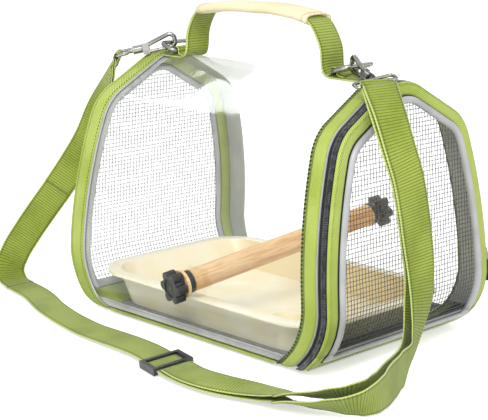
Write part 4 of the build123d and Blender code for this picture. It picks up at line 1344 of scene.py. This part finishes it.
@dataclass(frozen=True)
class NetPanel:
    """Square mesh on an end curve."""

    name: str
    end: End
    x: float
    inset: float
    bottom: float
    body: str
    node: str
    pitch: float = 3.9
    wire: float = 0.58

    def build(self, shop: Workshop) -> None:
        """Make the net's wires inside the outline."""
        outline = shop.form.loop(-self.inset + 1.0)
        half = [p for p in outline[:len(outline) // 2 + 1]]
        zs, ys = [p[1] for p in half], [p[0] for p in half]
        side = self.end.value
        runs = []
        top = max(zs)
        for k in range(int((top - self.bottom) / self.pitch)):
            z = self.bottom + (k + 0.5) * self.pitch
            reach = float(np.interp(z, zs[9:], ys[9:]))
            sag = 0.35 * math.sin(k * 1.7)
            x = shop.form.end_x(self.x, self.end, z) + side * self.wire / 2
            runs.append(np.array([(x, y, z + sag * math.cos(y / 17.0))
                                  for y in np.linspace(-reach, reach, 26)]))
        columns = int(max(ys) / self.pitch)
        for k in range(-columns, columns + 1):
            y = k * self.pitch
            inside = [z for z in np.arange(self.bottom, top, 1.0)
                      if float(np.interp(z, zs[9:], ys[9:])) > abs(y)]
            if len(inside) < 6:
                continue
            levels = np.linspace(max(inside[0], self.bottom), inside[-1], 34)
            sway = 0.3 * math.sin(k * 2.3)
            runs.append(np.array([(shop.form.end_x(self.x, self.end, z) - side * self.wire / 4,
                                   y + sway * math.cos(z / 19.0), z) for z in levels]))
        net = shop.repeats.wire_rows(self.name, runs, shop.wardrobe.get(shop.finish.net),
                                     self.wire)
        shop.place(net, None, self.body, (self.node,), "dark_mesh")


@dataclass(frozen=True)
class LeftEnd:
    """Fixed mesh end: seam piping, gusset, end band, grey rim and lining."""

    seam: float = -143.0
    gusset_start: float = -145.4
    gusset_end: float = -161.4
    band_end: float = -164.0
    band_reach: float = 13.0
    piping: float = 6.4
    proud: float = 2.2

    def build(self, shop: Workshop) -> None:
        """Make every piece."""
        form, finish, end = shop.form, shop.finish, End.LEFT
        pieces = [
            ("left_seam_cord", band_profile(self.seam, self.gusset_start, 0.0, 1.2, 5, 0.8),
             finish.piping, "left_seam_piping", "grey_piping"),
            ("left_gusset", band_profile(self.gusset_start, self.gusset_end, 0.0, self.proud, 11),
             finish.band, "left_gusset_band", "green_twill"),
            ("left_end_ring", face_profile(self.gusset_end, self.band_end, -self.band_reach,
                                           self.proud, 11),
             finish.band, "left_end_band", "green_twill"),
            ("left_rim", [(self.gusset_end - 1.3 + a, -self.band_reach - self.piping / 2 + b)
                          for a, b in circle(self.piping / 2, 14)],
             finish.piping, "left_rim_piping", "grey_piping"),
        ]
        for name, profile, cloth, node, slot in pieces:
            piece = lattice(name, form.ring(end, profile), True)
            shop.place(piece, cloth, "carrier", (node,), slot)
        # Painted shadow: a thin black strip stands for the shadow line between the end band and the
        # grey rim piping.
        shadow_line = face_profile(self.gusset_end, self.band_end + 0.2, -self.band_reach - 0.9,
                              -self.band_reach + 0.7, 5, 0.2)
        piece = lattice("left_shadow_line", form.ring(end, shadow_line), True)
        shop.place(piece, finish.tape, "carrier", slot="black_tape")
        lining = band_profile(self.gusset_end + 2, self.seam + 6, -2.2, -1.2, 7)
        piece = lattice("left_lining", form.ring(end, lining, form.above(22.0)))
        shop.place(piece, finish.lining, "carrier", ("left_inner_lining",), "grey_lining")
        row = form.line(end, self.gusset_start - 1.6, self.proud + 0.02)
        stitches = shop.repeats.bead_row("left_gusset_stitches", [row],
                                         shop.wardrobe.get(finish.dark_thread), 3.4,
                                         (2.3, 0.7, 0.5), (1.0, 0.0, 0.0), ring=True)
        shop.place(stitches, None, "carrier", slot="green_twill")
        NetPanel("left_net", end, self.gusset_end - 0.8, self.band_reach + self.piping, 3.0,
                 "carrier", "left_mesh_net").build(shop)


@dataclass(frozen=True)
class RightEnd:
    """Right gusset with its stitched seam, the zipper and the lining."""

    seam: float = 143.0
    cord: float = 4.4
    gusset_end: float = 160.4
    coil_start: float = 165.4
    coil_end: float = 172.4
    coil_height: float = 1.8
    proud: float = 2.2
    tooth_pitch: float = 1.35

    def build(self, shop: Workshop) -> None:
        """Make every piece."""
        form, finish, end = shop.form, shop.finish, End.RIGHT
        start = self.seam + self.cord
        middle = (self.coil_start + self.coil_end) / 2
        pieces = [
            ("right_seam_roll", band_profile(self.seam, start, 0.0, self.proud * 0.75, 7, 0.9),
             finish.cord, "right_seam_cord", "black_tape"),
            ("right_gusset", band_profile(start, self.gusset_end, 0.0, self.proud, 11),
             finish.band, "right_gusset_band", "green_twill"),
            ("zipper_coil_bed", band_profile(self.coil_start, self.coil_end, -0.4,
                                             self.coil_height * 0.55, 7),
             finish.tape, "zipper_coil", "black_tape"),
            ("zipper_tape_strip", band_profile(start + 7, self.coil_end, -1.8, -0.8, 7),
             finish.tape, "zipper_tape", "black_tape"),
        ]
        for name, profile, cloth, node, slot in pieces:
            piece = lattice(name, form.ring(end, profile), True)
            shop.place(piece, cloth, "carrier", (node,), slot)
        lining = band_profile(start, self.coil_end, -3.0, -2.0, 7)
        piece = lattice("right_lining", form.ring(end, lining, form.above(22.0)))
        shop.place(piece, finish.lining, "carrier", ("right_inner_lining",), "grey_lining")
        edge = band_profile(self.gusset_end, self.gusset_end + 1.2, -0.6, 0.9, 5, 0.8)
        piece = lattice("zipper_tape_edge", form.ring(end, edge), True)
        shop.place(piece, finish.piping, "carrier", slot="grey_piping")
        rows = [
            ("right_seam_stitches", self.seam + 2.0, self.proud * 0.72, finish.dark_thread, 3.6,
             (2.4, 3.0, 1.2), 24.0),
            ("zipper_teeth_left", middle - 1.3, self.coil_height * 0.72, finish.teeth,
             self.tooth_pitch, (0.8, 3.0, 1.3), 0.0),
            ("zipper_teeth_right", middle + 1.3, self.coil_height * 0.72, finish.teeth,
             self.tooth_pitch * 1.007, (0.8, 3.0, 1.3), 0.0),
        ]
        for name, x, grow, cloth, pitch, size, slant in rows:
            beads = shop.repeats.bead_row(name, [form.line(end, x, grow)],
                                          shop.wardrobe.get(cloth), pitch, size,
                                          (1.0, 0.0, 0.0), slant, True)
            shop.place(beads, None, "carrier", slot="black_tape")


@dataclass(frozen=True)
class Door:
    """Drop-down mesh door and the fixed sill under it."""

    start: float = 172.8
    stop: float = 175.8
    reach: float = 10.5
    proud: float = 1.4
    piping: float = 6.4
    hinge_height: float = 22.0
    door_bottom: float = 22.5

    def build(self, shop: Workshop) -> None:
        """Make the door, then the sill."""
        form, finish, end = shop.form, shop.finish, End.RIGHT
        band = face_profile(self.start, self.stop, -self.reach, self.proud, 11, 0.7)
        centre = self.start + self.piping / 2
        tube = [(centre + a, -self.reach - self.piping / 2 + b)
                for a, b in circle(self.piping / 2, 14)]
        upper, lower = form.above(self.door_bottom), form.below(self.hinge_height)
        for label, body, stations in (("door", "door", upper), ("sill", "carrier", lower)):
            piece = lattice(f"{label}_green_band", form.ring(end, band, stations))
            shop.place(piece, finish.band, body, (f"{label}_band",), "green_twill")
            piece = lattice(f"{label}_grey_piping", form.ring(end, tube, stations))
            shop.place(piece, finish.piping, body, (f"{label}_piping",), "grey_piping")
            # Painted shadow: a thin black strip stands for the shadow line between the green band and
            # the grey piping.
            shadow_line = face_profile(self.start + 0.2, self.stop + 0.1, -self.reach - 0.9,
                                  -self.reach + 0.8, 5, 0.2)
            piece = lattice(f"{label}_groove", form.ring(end, shadow_line, stations))
            shop.place(piece, finish.tape, body, slot="black_tape")
            row = form.line(end, self.stop - 0.1, self.proud - 1.9, stations)
            stitches = shop.repeats.bead_row(f"{label}_band_stitches", [row],
                                             shop.wardrobe.get(finish.thread), 2.0,
                                             (1.0, 2.6, 0.7), (0.0, 0.0, 0.0),
                                             outward=(1.0, 0.0, 0.0))
            shop.place(stitches, None, body, slot="green_twill")
        NetPanel("door_net", end, self.start + 0.8, self.reach + self.piping, self.door_bottom,
                 "door", "door_mesh_net").build(shop)
        self.sill_panel(shop)

    def sill_panel(self, shop: Workshop) -> None:
        """Closed cloth strip under the door's net."""
        inset = -self.reach - self.piping + 0.6
        outline = shop.form.loop(inset)
        ys = np.linspace(-1, 1, 21)
        low = float(outline[:, 1].min())
        grid = []
        for z in np.linspace(low, self.hinge_height, 6):
            size = shop.form.least_corner
            drop = max(0.0, size - (z - low))
            reach = shop.form.half_width + inset - size + math.sqrt(max(size ** 2 - drop ** 2, 0))
            x = shop.form.end_x(self.start, End.RIGHT, float(z))
            front = [(x + 1.5, reach * s, float(z)) for s in ys]
            grid.append(front + [(x + 0.1, reach * s, float(z)) for s in ys[::-1]])
        piece = lattice("sill_cloth", np.array(grid))
        shop.place(piece, shop.finish.lining, "carrier", ("sill_panel",), "grey_lining")


@dataclass(frozen=True)
class Zip:
    """Slider and pull on the coil."""

    def build(self, shop: Workshop) -> None:
        """Dress the slider and its pull."""
        shop.keep(shop.finish.metal, "zipper_slider", "zipper_pull")


@dataclass(frozen=True)
class Inside:
    """Tray with its cup, and the perch with its knobs."""

    tray_edge: float = 0.9
    knob_edge: float = 0.9

    def build(self, shop: Workshop) -> None:
        """Make and dress every piece."""
        finish = shop.finish
        shop.soften("tray", finish.tray, "feeding_tray", self.tray_edge, "cream_plastic")
        shop.soften("front_knob", finish.plastic, "front_perch_knob", self.knob_edge,
                    "black_plastic")
        shop.soften("back_knob", finish.plastic, "back_perch_knob", self.knob_edge,
                    "black_plastic")
        shop.keep(finish.wood, "perch_dowel")
        shop.keep(finish.pale_wood, "front_washer")
        shop.keep(finish.plastic, "front_bush", "back_bush")
        shop.keep(finish.metal, "front_stud", "back_stud")


@dataclass(frozen=True)
class Handle:
    """Green webbing from the crown over the arch, its cream sleeve, and the ring keepers."""

    left: float = -97.0
    right: float = 79.0
    pivot_height: float = 255.0
    straight: float = 7.0
    arch: tuple[Flat, ...] = ((-84.0, 286.5), (-46.0, 291.5), (20.0, 292.5), (63.0, 287.5))
    bend: float = 20.0
    foot_bend: float = 8.0
    width: float = 30.0
    thickness: float = 2.0
    seam: float = 142.6
    grip_start: float = -80.0
    grip_end: float = 61.0
    grip_width: float = 34.0
    grip_thickness: float = 9.0
    ring_from_leg: float = 14.0
    bar_height: float = 244.0
    keeper_radius: float = 3.3

    def path(self, shop: Workshop) -> np.ndarray:
        """Middle line of the webbing in the XZ plane, from the left seam to the right one."""
        half = self.thickness / 2
        crown = shop.form.height + half
        seam_left = shop.form.end_x(-self.seam, End.LEFT, shop.form.height)
        seam_right = shop.form.end_x(self.seam, End.RIGHT, shop.form.height)
        knee = self.pivot_height + self.straight
        middle = [(x, z - half) for x, z in self.arch]
        feet = rounded([(seam_left, crown), (self.left + half, crown),
                        (self.left + half, knee - 6)], self.foot_bend)
        over = rounded([(self.left + half, knee - 6), (self.left + half, knee), *middle,
                        (self.right - half, knee), (self.right - half, knee - 6)], self.bend)
        away = rounded([(self.right - half, knee - 6), (self.right - half, crown),
                        (seam_right, crown)], self.foot_bend)
        line = np.vstack([feet, over[1:-1], away])
        covered = np.concatenate([[0], np.cumsum(np.linalg.norm(np.diff(line, axis=0), axis=1))])
        even = np.linspace(0, covered[-1], int(covered[-1] / 2.2))
        line = np.stack([np.interp(even, covered, line[:, k]) for k in (0, 1)], axis=1)
        soft = np.stack([np.convolve(np.pad(line[:, k], 3, mode="edge"), np.ones(7) / 7,
                                     mode="valid") for k in (0, 1)], axis=1)
        lying = (line[:, 1] < crown + 0.01)[:, None]
        return np.where(lying, line, np.maximum(soft, [-999.0, crown]))

    def build(self, shop: Workshop) -> None:
        """Make every piece."""
        self.webbing(shop)
        self.grip(shop)
        for leg, end, label in ((self.left, End.LEFT, "left"), (self.right, End.RIGHT, "right")):
            self.keeper(shop, leg, end, label)
        shop.keep(shop.finish.metal, "left_ring", "right_ring")

    def webbing(self, shop: Workshop) -> None:
        """One length of webbing that lies on the crown and rises into the handle."""
        line = self.path(shop)
        run = np.gradient(line, axis=0)
        run = run / np.linalg.norm(run, axis=1)[:, None]
        out = np.stack([-run[:, 1], run[:, 0]], axis=1)
        shape = section(self.width, self.thickness, 13, rib=0.12)
        radius = shop.form.crown_radius
        grid = []
        for (x, z), (ox, oz) in zip(line, out):
            lying = min(max((self.pivot_height - 4 - z) / 8, 0.0), 1.0)
            row = []
            for a, b in shape:
                drop = (radius - math.sqrt(radius ** 2 - a ** 2)) * lying
                row.append((x + ox * b, a, z + oz * b - drop))
            grid.append(row)
        piece = lattice("handle_strap", np.array(grid))
        shop.wardrobe.dress(piece, shop.finish.webbing)
        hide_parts("handle_webbing", "left_handle_anchor", "right_handle_anchor")
        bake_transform(piece)
        log.info("handle_strap: blends from carrier to handle")
        self.box_stitches(shop)

    def box_stitches(self, shop: Workshop) -> None:
        """Rows of stitches that hold the webbing to the crown, each side of each ring."""
        radius = shop.form.crown_radius + self.thickness + 0.15
        centre = shop.form.height - shop.form.crown_radius
        rows = []
        for x in (self.left - 5.5, self.left - 22.5, self.right + 5.5, self.right + 22.5):
            ys = np.linspace(-12.5, 12.5, 12)
            rows.append(np.array([(x, y, centre + math.sqrt(radius ** 2 - y ** 2)) for y in ys]))
        stitches = shop.repeats.bead_row("crown_stitches", rows,
                                         shop.wardrobe.get(shop.finish.dark_thread), 2.6,
                                         (1.9, 0.7, 0.5), (1.0, 0.0, 0.0))
        shop.place(stitches, None, "carrier", slot="green_webbing")

    def grip(self, shop: Workshop) -> None:
        """Padded sleeve round the top of the handle, open at both ends."""
        line = self.path(shop)
        line = line[(line[:, 1] > 280) & (line[:, 0] > self.grip_start - 1)
                    & (line[:, 0] < self.grip_end + 1)]
        xs = np.linspace(self.grip_start, self.grip_end, 46)
        zs = np.interp(xs, line[:, 0], line[:, 1])
        zs = np.convolve(np.pad(zs, 3, mode="edge"), np.ones(7) / 7, mode="valid")
        stations = [(x, z, 1.0) for x, z in zip(xs, zs)]
        first, last = stations[0], stations[-1]
        stations = ([(first[0] + 7, first[1], 0.70), (first[0] + 0.6, first[1], 0.78)] + stations
                    + [(last[0] - 0.6, last[1], 0.78), (last[0] - 7, last[1], 0.70)])
        grid = []
        for k, (x, z, share) in enumerate(stations):
            fold = 0.35 * math.sin(x / 5.3) + 0.25 * math.sin(x / 2.1 + 1.0)
            pinch = 1.0 - 0.10 * math.exp(-((x - (self.grip_end - 7)) / 1.6) ** 2)
            pinch -= 0.10 * math.exp(-((x - (self.grip_start + 7)) / 1.6) ** 2)
            row = []
            for n in range(32):
                a = 2 * math.pi * n / 32
                c, s = math.cos(a), math.sin(a)
                wide = math.copysign(abs(c) ** 0.62, c) * self.grip_width / 2
                tall = math.copysign(abs(s) ** 0.8, s) * (self.grip_thickness / 2 + 0.4)
                swell = 1 + 0.03 * math.sin(x / 23.0 + a)
                row.append((x, wide * share * (0.5 + pinch / 2),
                            z + tall * share * pinch * swell + (fold if share == 1.0 else 0) * 0.3))
            grid.append(row)
        piece = lattice("cream_grip", np.array(grid))
        shop.place(piece, shop.finish.sleeve, "handle", ("handle_grip",), "sleeve")
        rows = []
        for x in (self.grip_start + 4.5, self.grip_end - 4.5):
            z = float(np.interp(x, xs, zs))
            ring = []
            for n in range(40):
                a = 2 * math.pi * n / 40
                c, s = math.cos(a), math.sin(a)
                ring.append((x, math.copysign(abs(c) ** 0.62, c) * (self.grip_width / 2 + 0.1),
                             z + math.copysign(abs(s) ** 0.8, s) * (self.grip_thickness / 2 + 0.5)))
            rows.append(np.array(ring))
        stitches = shop.repeats.bead_row("grip_stitches", rows,
                                         shop.wardrobe.get(shop.finish.seam_thread), 2.4,
                                         (1.7, 0.5, 0.4), (1.0, 0.0, 0.0), ring=True)
        shop.place(stitches, None, "handle", slot="sleeve")

    def keeper(self, shop: Workshop, leg: float, end: End, label: str) -> None:
        """Fold of webbing that holds one ring's bar to the crown.

        Args:
            shop: The workshop.
            leg: Outer face of the leg beside it.
            end: Its end of the carrier.
            label: The end's name.
        """
        x = leg + end.value * self.ring_from_leg
        top = shop.form.height + self.thickness + 0.8
        radius = self.keeper_radius
        line = [(x - 11.0, top), (x - 6.0, top + 0.2)]
        line += [(x - radius * math.cos(math.radians(a)),
                  self.bar_height + radius * math.sin(math.radians(a)))
                 for a in range(-20, 201, 20)]
        line += [(x + 6.0, top + 0.2), (x + 11.0, top)]
        shape = section(self.width - 1.0, 1.5, 11, rib=0.1)
        points = np.array(line)
        run = np.gradient(points, axis=0)
        run = run / np.linalg.norm(run, axis=1)[:, None]
        crown = shop.form.crown_radius
        grid = []
        for (px, pz), (rx, rz) in zip(points, run):
            lying = min(max((top + 3.0 - pz) / 3.0, 0.0), 1.0)
            grid.append([(px - rz * b, a, pz + rx * b
                          - (crown - math.sqrt(crown ** 2 - a ** 2)) * lying) for a, b in shape])
        piece = lattice(f"{label}_ring_keeper", np.array(grid))
        shop.place(piece, shop.finish.webbing, "carrier", slot="green_webbing")


@dataclass(frozen=True)
class SnapHooks:
    """Two swivel hooks with sprung gates and wire loops."""

    def build(self, shop: Workshop) -> None:
        """Dress every hook piece."""
        for label in ("left", "right"):
            shop.keep(shop.finish.metal, f"{label}_snap_hook", f"{label}_hook_gate",
                      f"{label}_wire_loop")


class Strap(Enum):
    """Stations at which the strap's route changes from one piece to the next."""

    LAP_END = 6
    FRONT_START = 11
    STRAIGHT_RUN = 18
    SIDE_START = 23
    LOOP_END = 31


@dataclass(frozen=True)
class ShoulderStrap:
    """Webbing from the left hook over the floor to the right hook, with its return layer."""

    width: float = 30.0
    thickness: float = 1.6
    layer: float = 2.2
    return_start: float = 0.72
    loop_bar_radius: float = 1.5
    sway_end: int = 3
    floor_gap: float = 0.2
    left_bar: Point = (-164.8, -41.12, 238.01)
    left_across: Point = (0.681, -0.732, 0.0)
    right_bar: Point = (156.55, -30.44, 241.91)
    right_across: Point = (0.443, 0.896, 0.0)
    hook_end: Point = (158.0, -31.0, 240.0)
    floor_end: Point = (200.0, -168.0, 8.0)

    def route(self) -> np.ndarray:
        """Stations of the strap: place and width direction."""
        return np.array([
            (-165.5, -41.6, 235.8, 0.68, -0.73, 0.00),
            (-175.0, -48.1, 204.2, 0.93, -0.30, -0.22),
            (-184.0, -52.1, 181.8, 0.93, 0.05, -0.36),
            (-193.4, -56.0, 156.0, 0.82, 0.35, -0.44),
            (-211.9, -67.2, 120.5, 0.72, 0.50, -0.47),
            (-223.0, -74.4, 101.4, 0.66, 0.57, -0.48),
            (-238.8, -85.2, 75.2, 0.65, 0.58, -0.48),
            (-252.2, -94.3, 52.0, 0.65, 0.58, -0.48),
            (-262.5, -101.8, 31.2, 0.62, 0.65, -0.44),
            (-265.5, -107.0, 15.5, 0.54, 0.78, -0.30),
            (-257.0, -110.5, 6.5, 0.44, 0.89, -0.08),
            (-240.0, -113.0, 3.2, 0.38, 0.92, 0.04),
            (-210.5, -117.5, 2.4, 0.34, 0.94, 0.04),
            (-155.0, -137.6, 2.2, 0.28, 0.96, 0.04),
            (-102.0, -151.0, 2.6, 0.20, 0.98, 0.06),
            (-71.0, -156.5, 3.4, 0.12, 0.99, 0.09),
            (-42.0, -158.5, 4.4, 0.08, 0.99, 0.11),
            (-18.0, -160.0, 5.2, 0.14, 0.98, 0.11),
            (8.0, -162.5, 5.7, 0.22, 0.97, 0.10),
            (88.0, -181.0, 5.7, 0.20, 0.97, 0.10),
            (122.0, -179.5, 5.6, -0.20, 0.97, 0.10),
            (148.5, -171.3, 4.6, -0.44, 0.90, 0.03),
            (167.0, -167.5, 4.2, -0.54, 0.83, -0.10),
            (184.0, -168.0, 5.2, -0.59, 0.76, -0.25),
            (201.0, -168.1, 7.9, -0.62, 0.66, -0.42),
            (220.0, -161.4, 9.8, -0.56, 0.62, -0.55),
            (235.9, -155.5, 12.2, -0.45, 0.52, -0.73),
            (244.8, -146.6, 14.5, -0.31, 0.47, -0.83),
            (247.2, -133.6, 16.1, -0.18, 0.45, -0.87),
            (243.5, -117.0, 16.2, -0.16, 0.52, -0.84),
            (235.3, -97.7, 17.2, -0.18, 0.63, -0.76),
            (222.2, -71.2, 16.2, -0.30, 0.65, -0.70),
            (208.5, -46.0, 16.0, -0.40, 0.74, -0.54),
            (204.5, -34.0, 23.6, -0.46, 0.82, -0.34),
            (202.5, -27.0, 36.0, -0.34, 0.90, -0.22),
            (201.0, -20.5, 60.0, -0.05, 0.99, -0.06),
            (199.2, -19.5, 86.3, 0.16, 0.98, 0.00),
            (197.8, -23.0, 112.8, 0.26, 0.96, 0.02),
            (197.4, -28.8, 140.7, 0.28, 0.96, 0.04),
            (196.0, -35.6, 169.5, 0.28, 0.95, 0.10),
            (191.4, -42.0, 194.5, 0.30, 0.95, 0.10),
            (182.2, -42.4, 217.5, 0.34, 0.93, 0.10),
            (161.0, -33.2, 242.4, 0.43, 0.89, 0.17),
        ])

    def upper_return(self) -> np.ndarray:
        """Stations of the return layer from the foot of the right strand to the hook."""
        return np.array([
            (200.5, -39.0, 22.0, -0.30, 0.83, -0.46),
            (196.6, -28.0, 34.0, -0.18, 0.94, -0.25),
            (194.6, -19.5, 58.7, 0.08, 0.99, -0.05),
            (194.2, -17.6, 86.3, 0.20, 0.98, 0.00),
            (194.2, -22.2, 112.8, 0.28, 0.96, 0.02),
            (193.9, -28.1, 140.7, 0.28, 0.96, 0.04),
            (192.6, -35.2, 168.9, 0.28, 0.95, 0.10),
            (188.0, -41.8, 193.0, 0.30, 0.95, 0.10),
            (178.6, -42.2, 215.0, 0.34, 0.93, 0.08),
            (159.1, -31.8, 238.8, 0.43, 0.88, 0.19),
        ])

    def frames(self, route: np.ndarray) -> tuple[np.ndarray, np.ndarray]:
        """Width direction and face direction at each station of a route."""
        run = np.empty((len(route), 3))
        for i in range(len(route)):
            run[i] = route[min(i + 1, len(route) - 1), :3] - route[max(i - 1, 0), :3]
        run /= np.linalg.norm(run, axis=1)[:, None]
        wide = route[:, 3:] - run * (route[:, 3:] * run).sum(axis=1)[:, None]
        wide /= np.linalg.norm(wide, axis=1)[:, None]
        return wide, np.cross(run, wide)

    def lift(self, route: np.ndarray, gaps: Sequence[float], face: np.ndarray) -> np.ndarray:
        """The same stations, each moved out of the webbing's face by its gap."""
        moved = route.copy()
        moved[:, :3] += face * np.array(gaps)[:, None]
        return moved

    def piece(self, shop: Workshop, name: str, route: np.ndarray, nodes: Sequence[str],
              steps: int = 6) -> bpy.types.Object:
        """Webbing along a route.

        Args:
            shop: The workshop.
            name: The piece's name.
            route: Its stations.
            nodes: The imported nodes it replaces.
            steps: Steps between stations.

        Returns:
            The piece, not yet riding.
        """
        fine = smooth_run(route, steps)
        shape = section(self.width, self.thickness, 13, rib=0.1)
        made = sweep(name, fine[:, :3], fine[:, 3:], shape)
        for vertex in made.data.vertices:
            vertex.co.z = max(vertex.co.z, self.floor_gap * MM)
        shop.wardrobe.dress(made, shop.finish.webbing)
        if nodes:
            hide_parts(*nodes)
        return made

    def build(self, shop: Workshop) -> None:
        """Make every length of webbing, the folds at the loops and the buckle."""
        route = self.route()
        wide, face = self.frames(route)
        lap, front = Strap.LAP_END.value, Strap.FRONT_START.value
        straight, side = Strap.STRAIGHT_RUN.value, Strap.SIDE_START.value
        loop = Strap.LOOP_END.value
        left = self.piece(shop, "strap_left_strand", route[:front + 1], ("shoulder_strap_left",))
        second = self.piece(shop, "strap_left_lap",
                            self.lift(route[:lap], [self.layer] * lap, face[:lap]),
                            ("shoulder_strap_left_lap",))
        run = self.piece(shop, "strap_front_run", route[front:side + 1],
                         ("shoulder_strap_front",))
        right = self.piece(shop, "strap_right_strand", route[side:], ("shoulder_strap_right",))
        gaps = [2.4, 2.6, 3.0, 3.6, 4.6, 6.0, 7.5, 9.0, 10.0, 10.5, 10.0, 9.0, 7.5]
        start = route[straight].copy()
        start[:3] += (route[straight + 1, :3] - route[straight, :3]) * self.return_start
        lower = np.vstack([start, route[straight + 1:loop]])
        faces = np.vstack([face[straight], face[straight + 1:loop]])
        lower = self.lift(lower, gaps, faces)
        whole = np.vstack([lower, self.upper_return()])
        turn = side - straight
        first = self.piece(shop, "strap_return_front", whole[:turn + 1],
                           ("shoulder_strap_return",))
        second_return = self.piece(shop, "strap_return_side", whole[turn:], ())
        for made in (left, second):
            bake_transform(made)
        for made in (run, first):
            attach(made, "carrier")
        for made in (right, second_return):
            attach(made, "carrier")
            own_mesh(made)
        self.fold(shop, "left", self.left_bar, self.left_across, route[1, :3] - route[0, :3])
        self.fold(shop, "right", self.right_bar, self.right_across, route[-2, :3] - route[-1, :3])
        shop.keep(shop.finish.plastic, "slide_buckle")

    def fold(self, shop: Workshop, label: str, bar: Point, across: Point,
             down: np.ndarray) -> None:
        """Webbing folded round a wire loop's far bar.

        Args:
            shop: The workshop.
            label: The loop's side.
            bar: Middle of the bar.
            across: Direction of the bar.
            down: Direction in which the strap leaves it.
        """
        wide = np.array(across) / np.linalg.norm(across)
        down = down - wide * (down @ wide)
        down = down / np.linalg.norm(down)
        face = np.cross(down, wide)
        radius = self.loop_bar_radius + self.thickness / 2 + 0.25
        line = [face * 1.7 + down * 13.0, face * 1.9 + down * 7.0]
        line += [face * radius * math.cos(a) - down * radius * math.sin(a)
                 for a in np.radians(np.arange(-20, 201, 20))]
        line += [-face * 1.9 + down * 7.0, -face * 1.7 + down * 13.0]
        points = np.array(line) + np.array(bar)
        made = sweep(f"strap_{label}_fold", points, wide, section(self.width - 0.4, 1.2, 11))
        shop.place(made, shop.finish.webbing, f"{label}_loop", slot="green_webbing")


@dataclass(frozen=True)
class Studio:
    """Floor, soft lamps and the camera at the photograph's angle."""

    camera_place: Point = (960.07, -976.23, 423.97)
    aim: Point = (-29.70, -2.59, 98.15)
    lens: float = 110.74
    sensor: float = 36.0
    floor_half: float = 4.0

    def build(self) -> None:
        """Make the camera, the lamps, the world and the floor."""
        self.camera()
        self.lamps()
        self.world()
        self.floor()
        bpy.context.scene.view_settings.view_transform = "Standard"

    def camera(self) -> None:
        """Camera at the photograph's place and lens."""
        data = bpy.data.cameras.new("camera")
        data.lens, data.sensor_width = self.lens, self.sensor
        data.clip_end = 30.0
        camera = bpy.data.objects.new("camera", data)
        bpy.context.scene.collection.objects.link(camera)
        camera.location = Vector(self.camera_place) * MM
        back = Vector(self.camera_place) - Vector(self.aim)
        camera.rotation_euler = (-back).to_track_quat("-Z", "Y").to_euler()
        bpy.context.scene.camera = camera

    def lamps(self) -> None:
        """Broad lamps: a key from the upper left, a fill from the right and one from behind."""
        plan = (("key", (0.9, -1.3, 1.6), (0.9, 0.9), 27.0),
                ("fill", (1.8, 0.1, 0.9), (1.2, 1.2), 5.0),
                ("rim", (-0.4, 1.6, 1.6), (1.2, 1.2), 8.0),
                ("low", (0.3, -1.9, 0.4), (0.9, 0.5), 4.0),
                ("glare", (-1.18, 0.22, 1.33), (0.9, 0.16), 3.5))
        for name, place, (wide, deep), power in plan:
            data = bpy.data.lights.new(name, "AREA")
            data.shape, data.energy = "RECTANGLE", power
            data.size, data.size_y = wide, deep
            lamp = bpy.data.objects.new(name, data)
            bpy.context.scene.collection.objects.link(lamp)
            lamp.location = place
            lamp.rotation_euler = (Vector((0, 0, 0.1)) - Vector(place)).to_track_quat(
                "-Z", "Y").to_euler()

    @staticmethod
    def seen(desk: Desk) -> bpy.types.NodeSocket:
        """1 for rays that show the background: camera, glossy and transmission rays."""
        path = desk.add("ShaderNodeLightPath")
        shown = desk.sums("MAXIMUM", path.outputs["Is Camera Ray"], path.outputs["Is Glossy Ray"])
        return desk.sums("MAXIMUM", shown, path.outputs["Is Transmission Ray"])

    def world(self) -> None:
        """White to the eye and in reflections, softer as light."""
        world = bpy.data.worlds.new("white_room")
        bpy.context.scene.world = world
        world.use_nodes = True
        desk = Desk(world.node_tree)
        ground = world.node_tree.nodes["Background"]
        strength = desk.sums("MULTIPLY_ADD", self.seen(desk), 0.42, 0.58)
        ground.inputs[0].default_value = (1, 1, 1, 1)
        desk.tree.links.new(strength, ground.inputs[1])

    def floor(self) -> None:
        """Pale floor that keeps the shadow."""
        mesh = bpy.data.meshes.new("floor")
        size = self.floor_half
        mesh.from_pydata([(-size, -size, -0.0004), (size, -size, -0.0004),
                          (size, size, -0.0004), (-size, size, -0.0004)], [], [(0, 1, 2, 3)])
        floor = link("floor", mesh)
        material = bpy.data.materials.new("floor")
        material.use_nodes = True
        desk = Desk(material.node_tree)
        shader = material.node_tree.nodes["Principled BSDF"]
        shader.inputs["Base Color"].default_value = linear("#F4F4F4")
        shader.inputs["Roughness"].default_value = 0.85
        shader.inputs["Specular IOR Level"].default_value = 0.1
        shader.inputs["Emission Color"].default_value = (1, 1, 1, 1)
        glow = desk.sums("MULTIPLY", self.seen(desk), 0.55)
        desk.tree.links.new(glow, shader.inputs["Emission Strength"])
        mesh.materials.append(material)


def main() -> None:
    """Build every sub-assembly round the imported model."""
    logging.basicConfig(level=logging.INFO, format="%(message)s")
    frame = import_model()
    shop = Workshop(frame)
    for part in (ShoulderStrap(), ClearTunnel(), LeftEnd(), RightEnd(), Door(), Zip(), Inside(),
                 Handle(), SnapHooks()):
        part.build(shop)
    Studio().build()


if __name__ == "__main__":
    main()
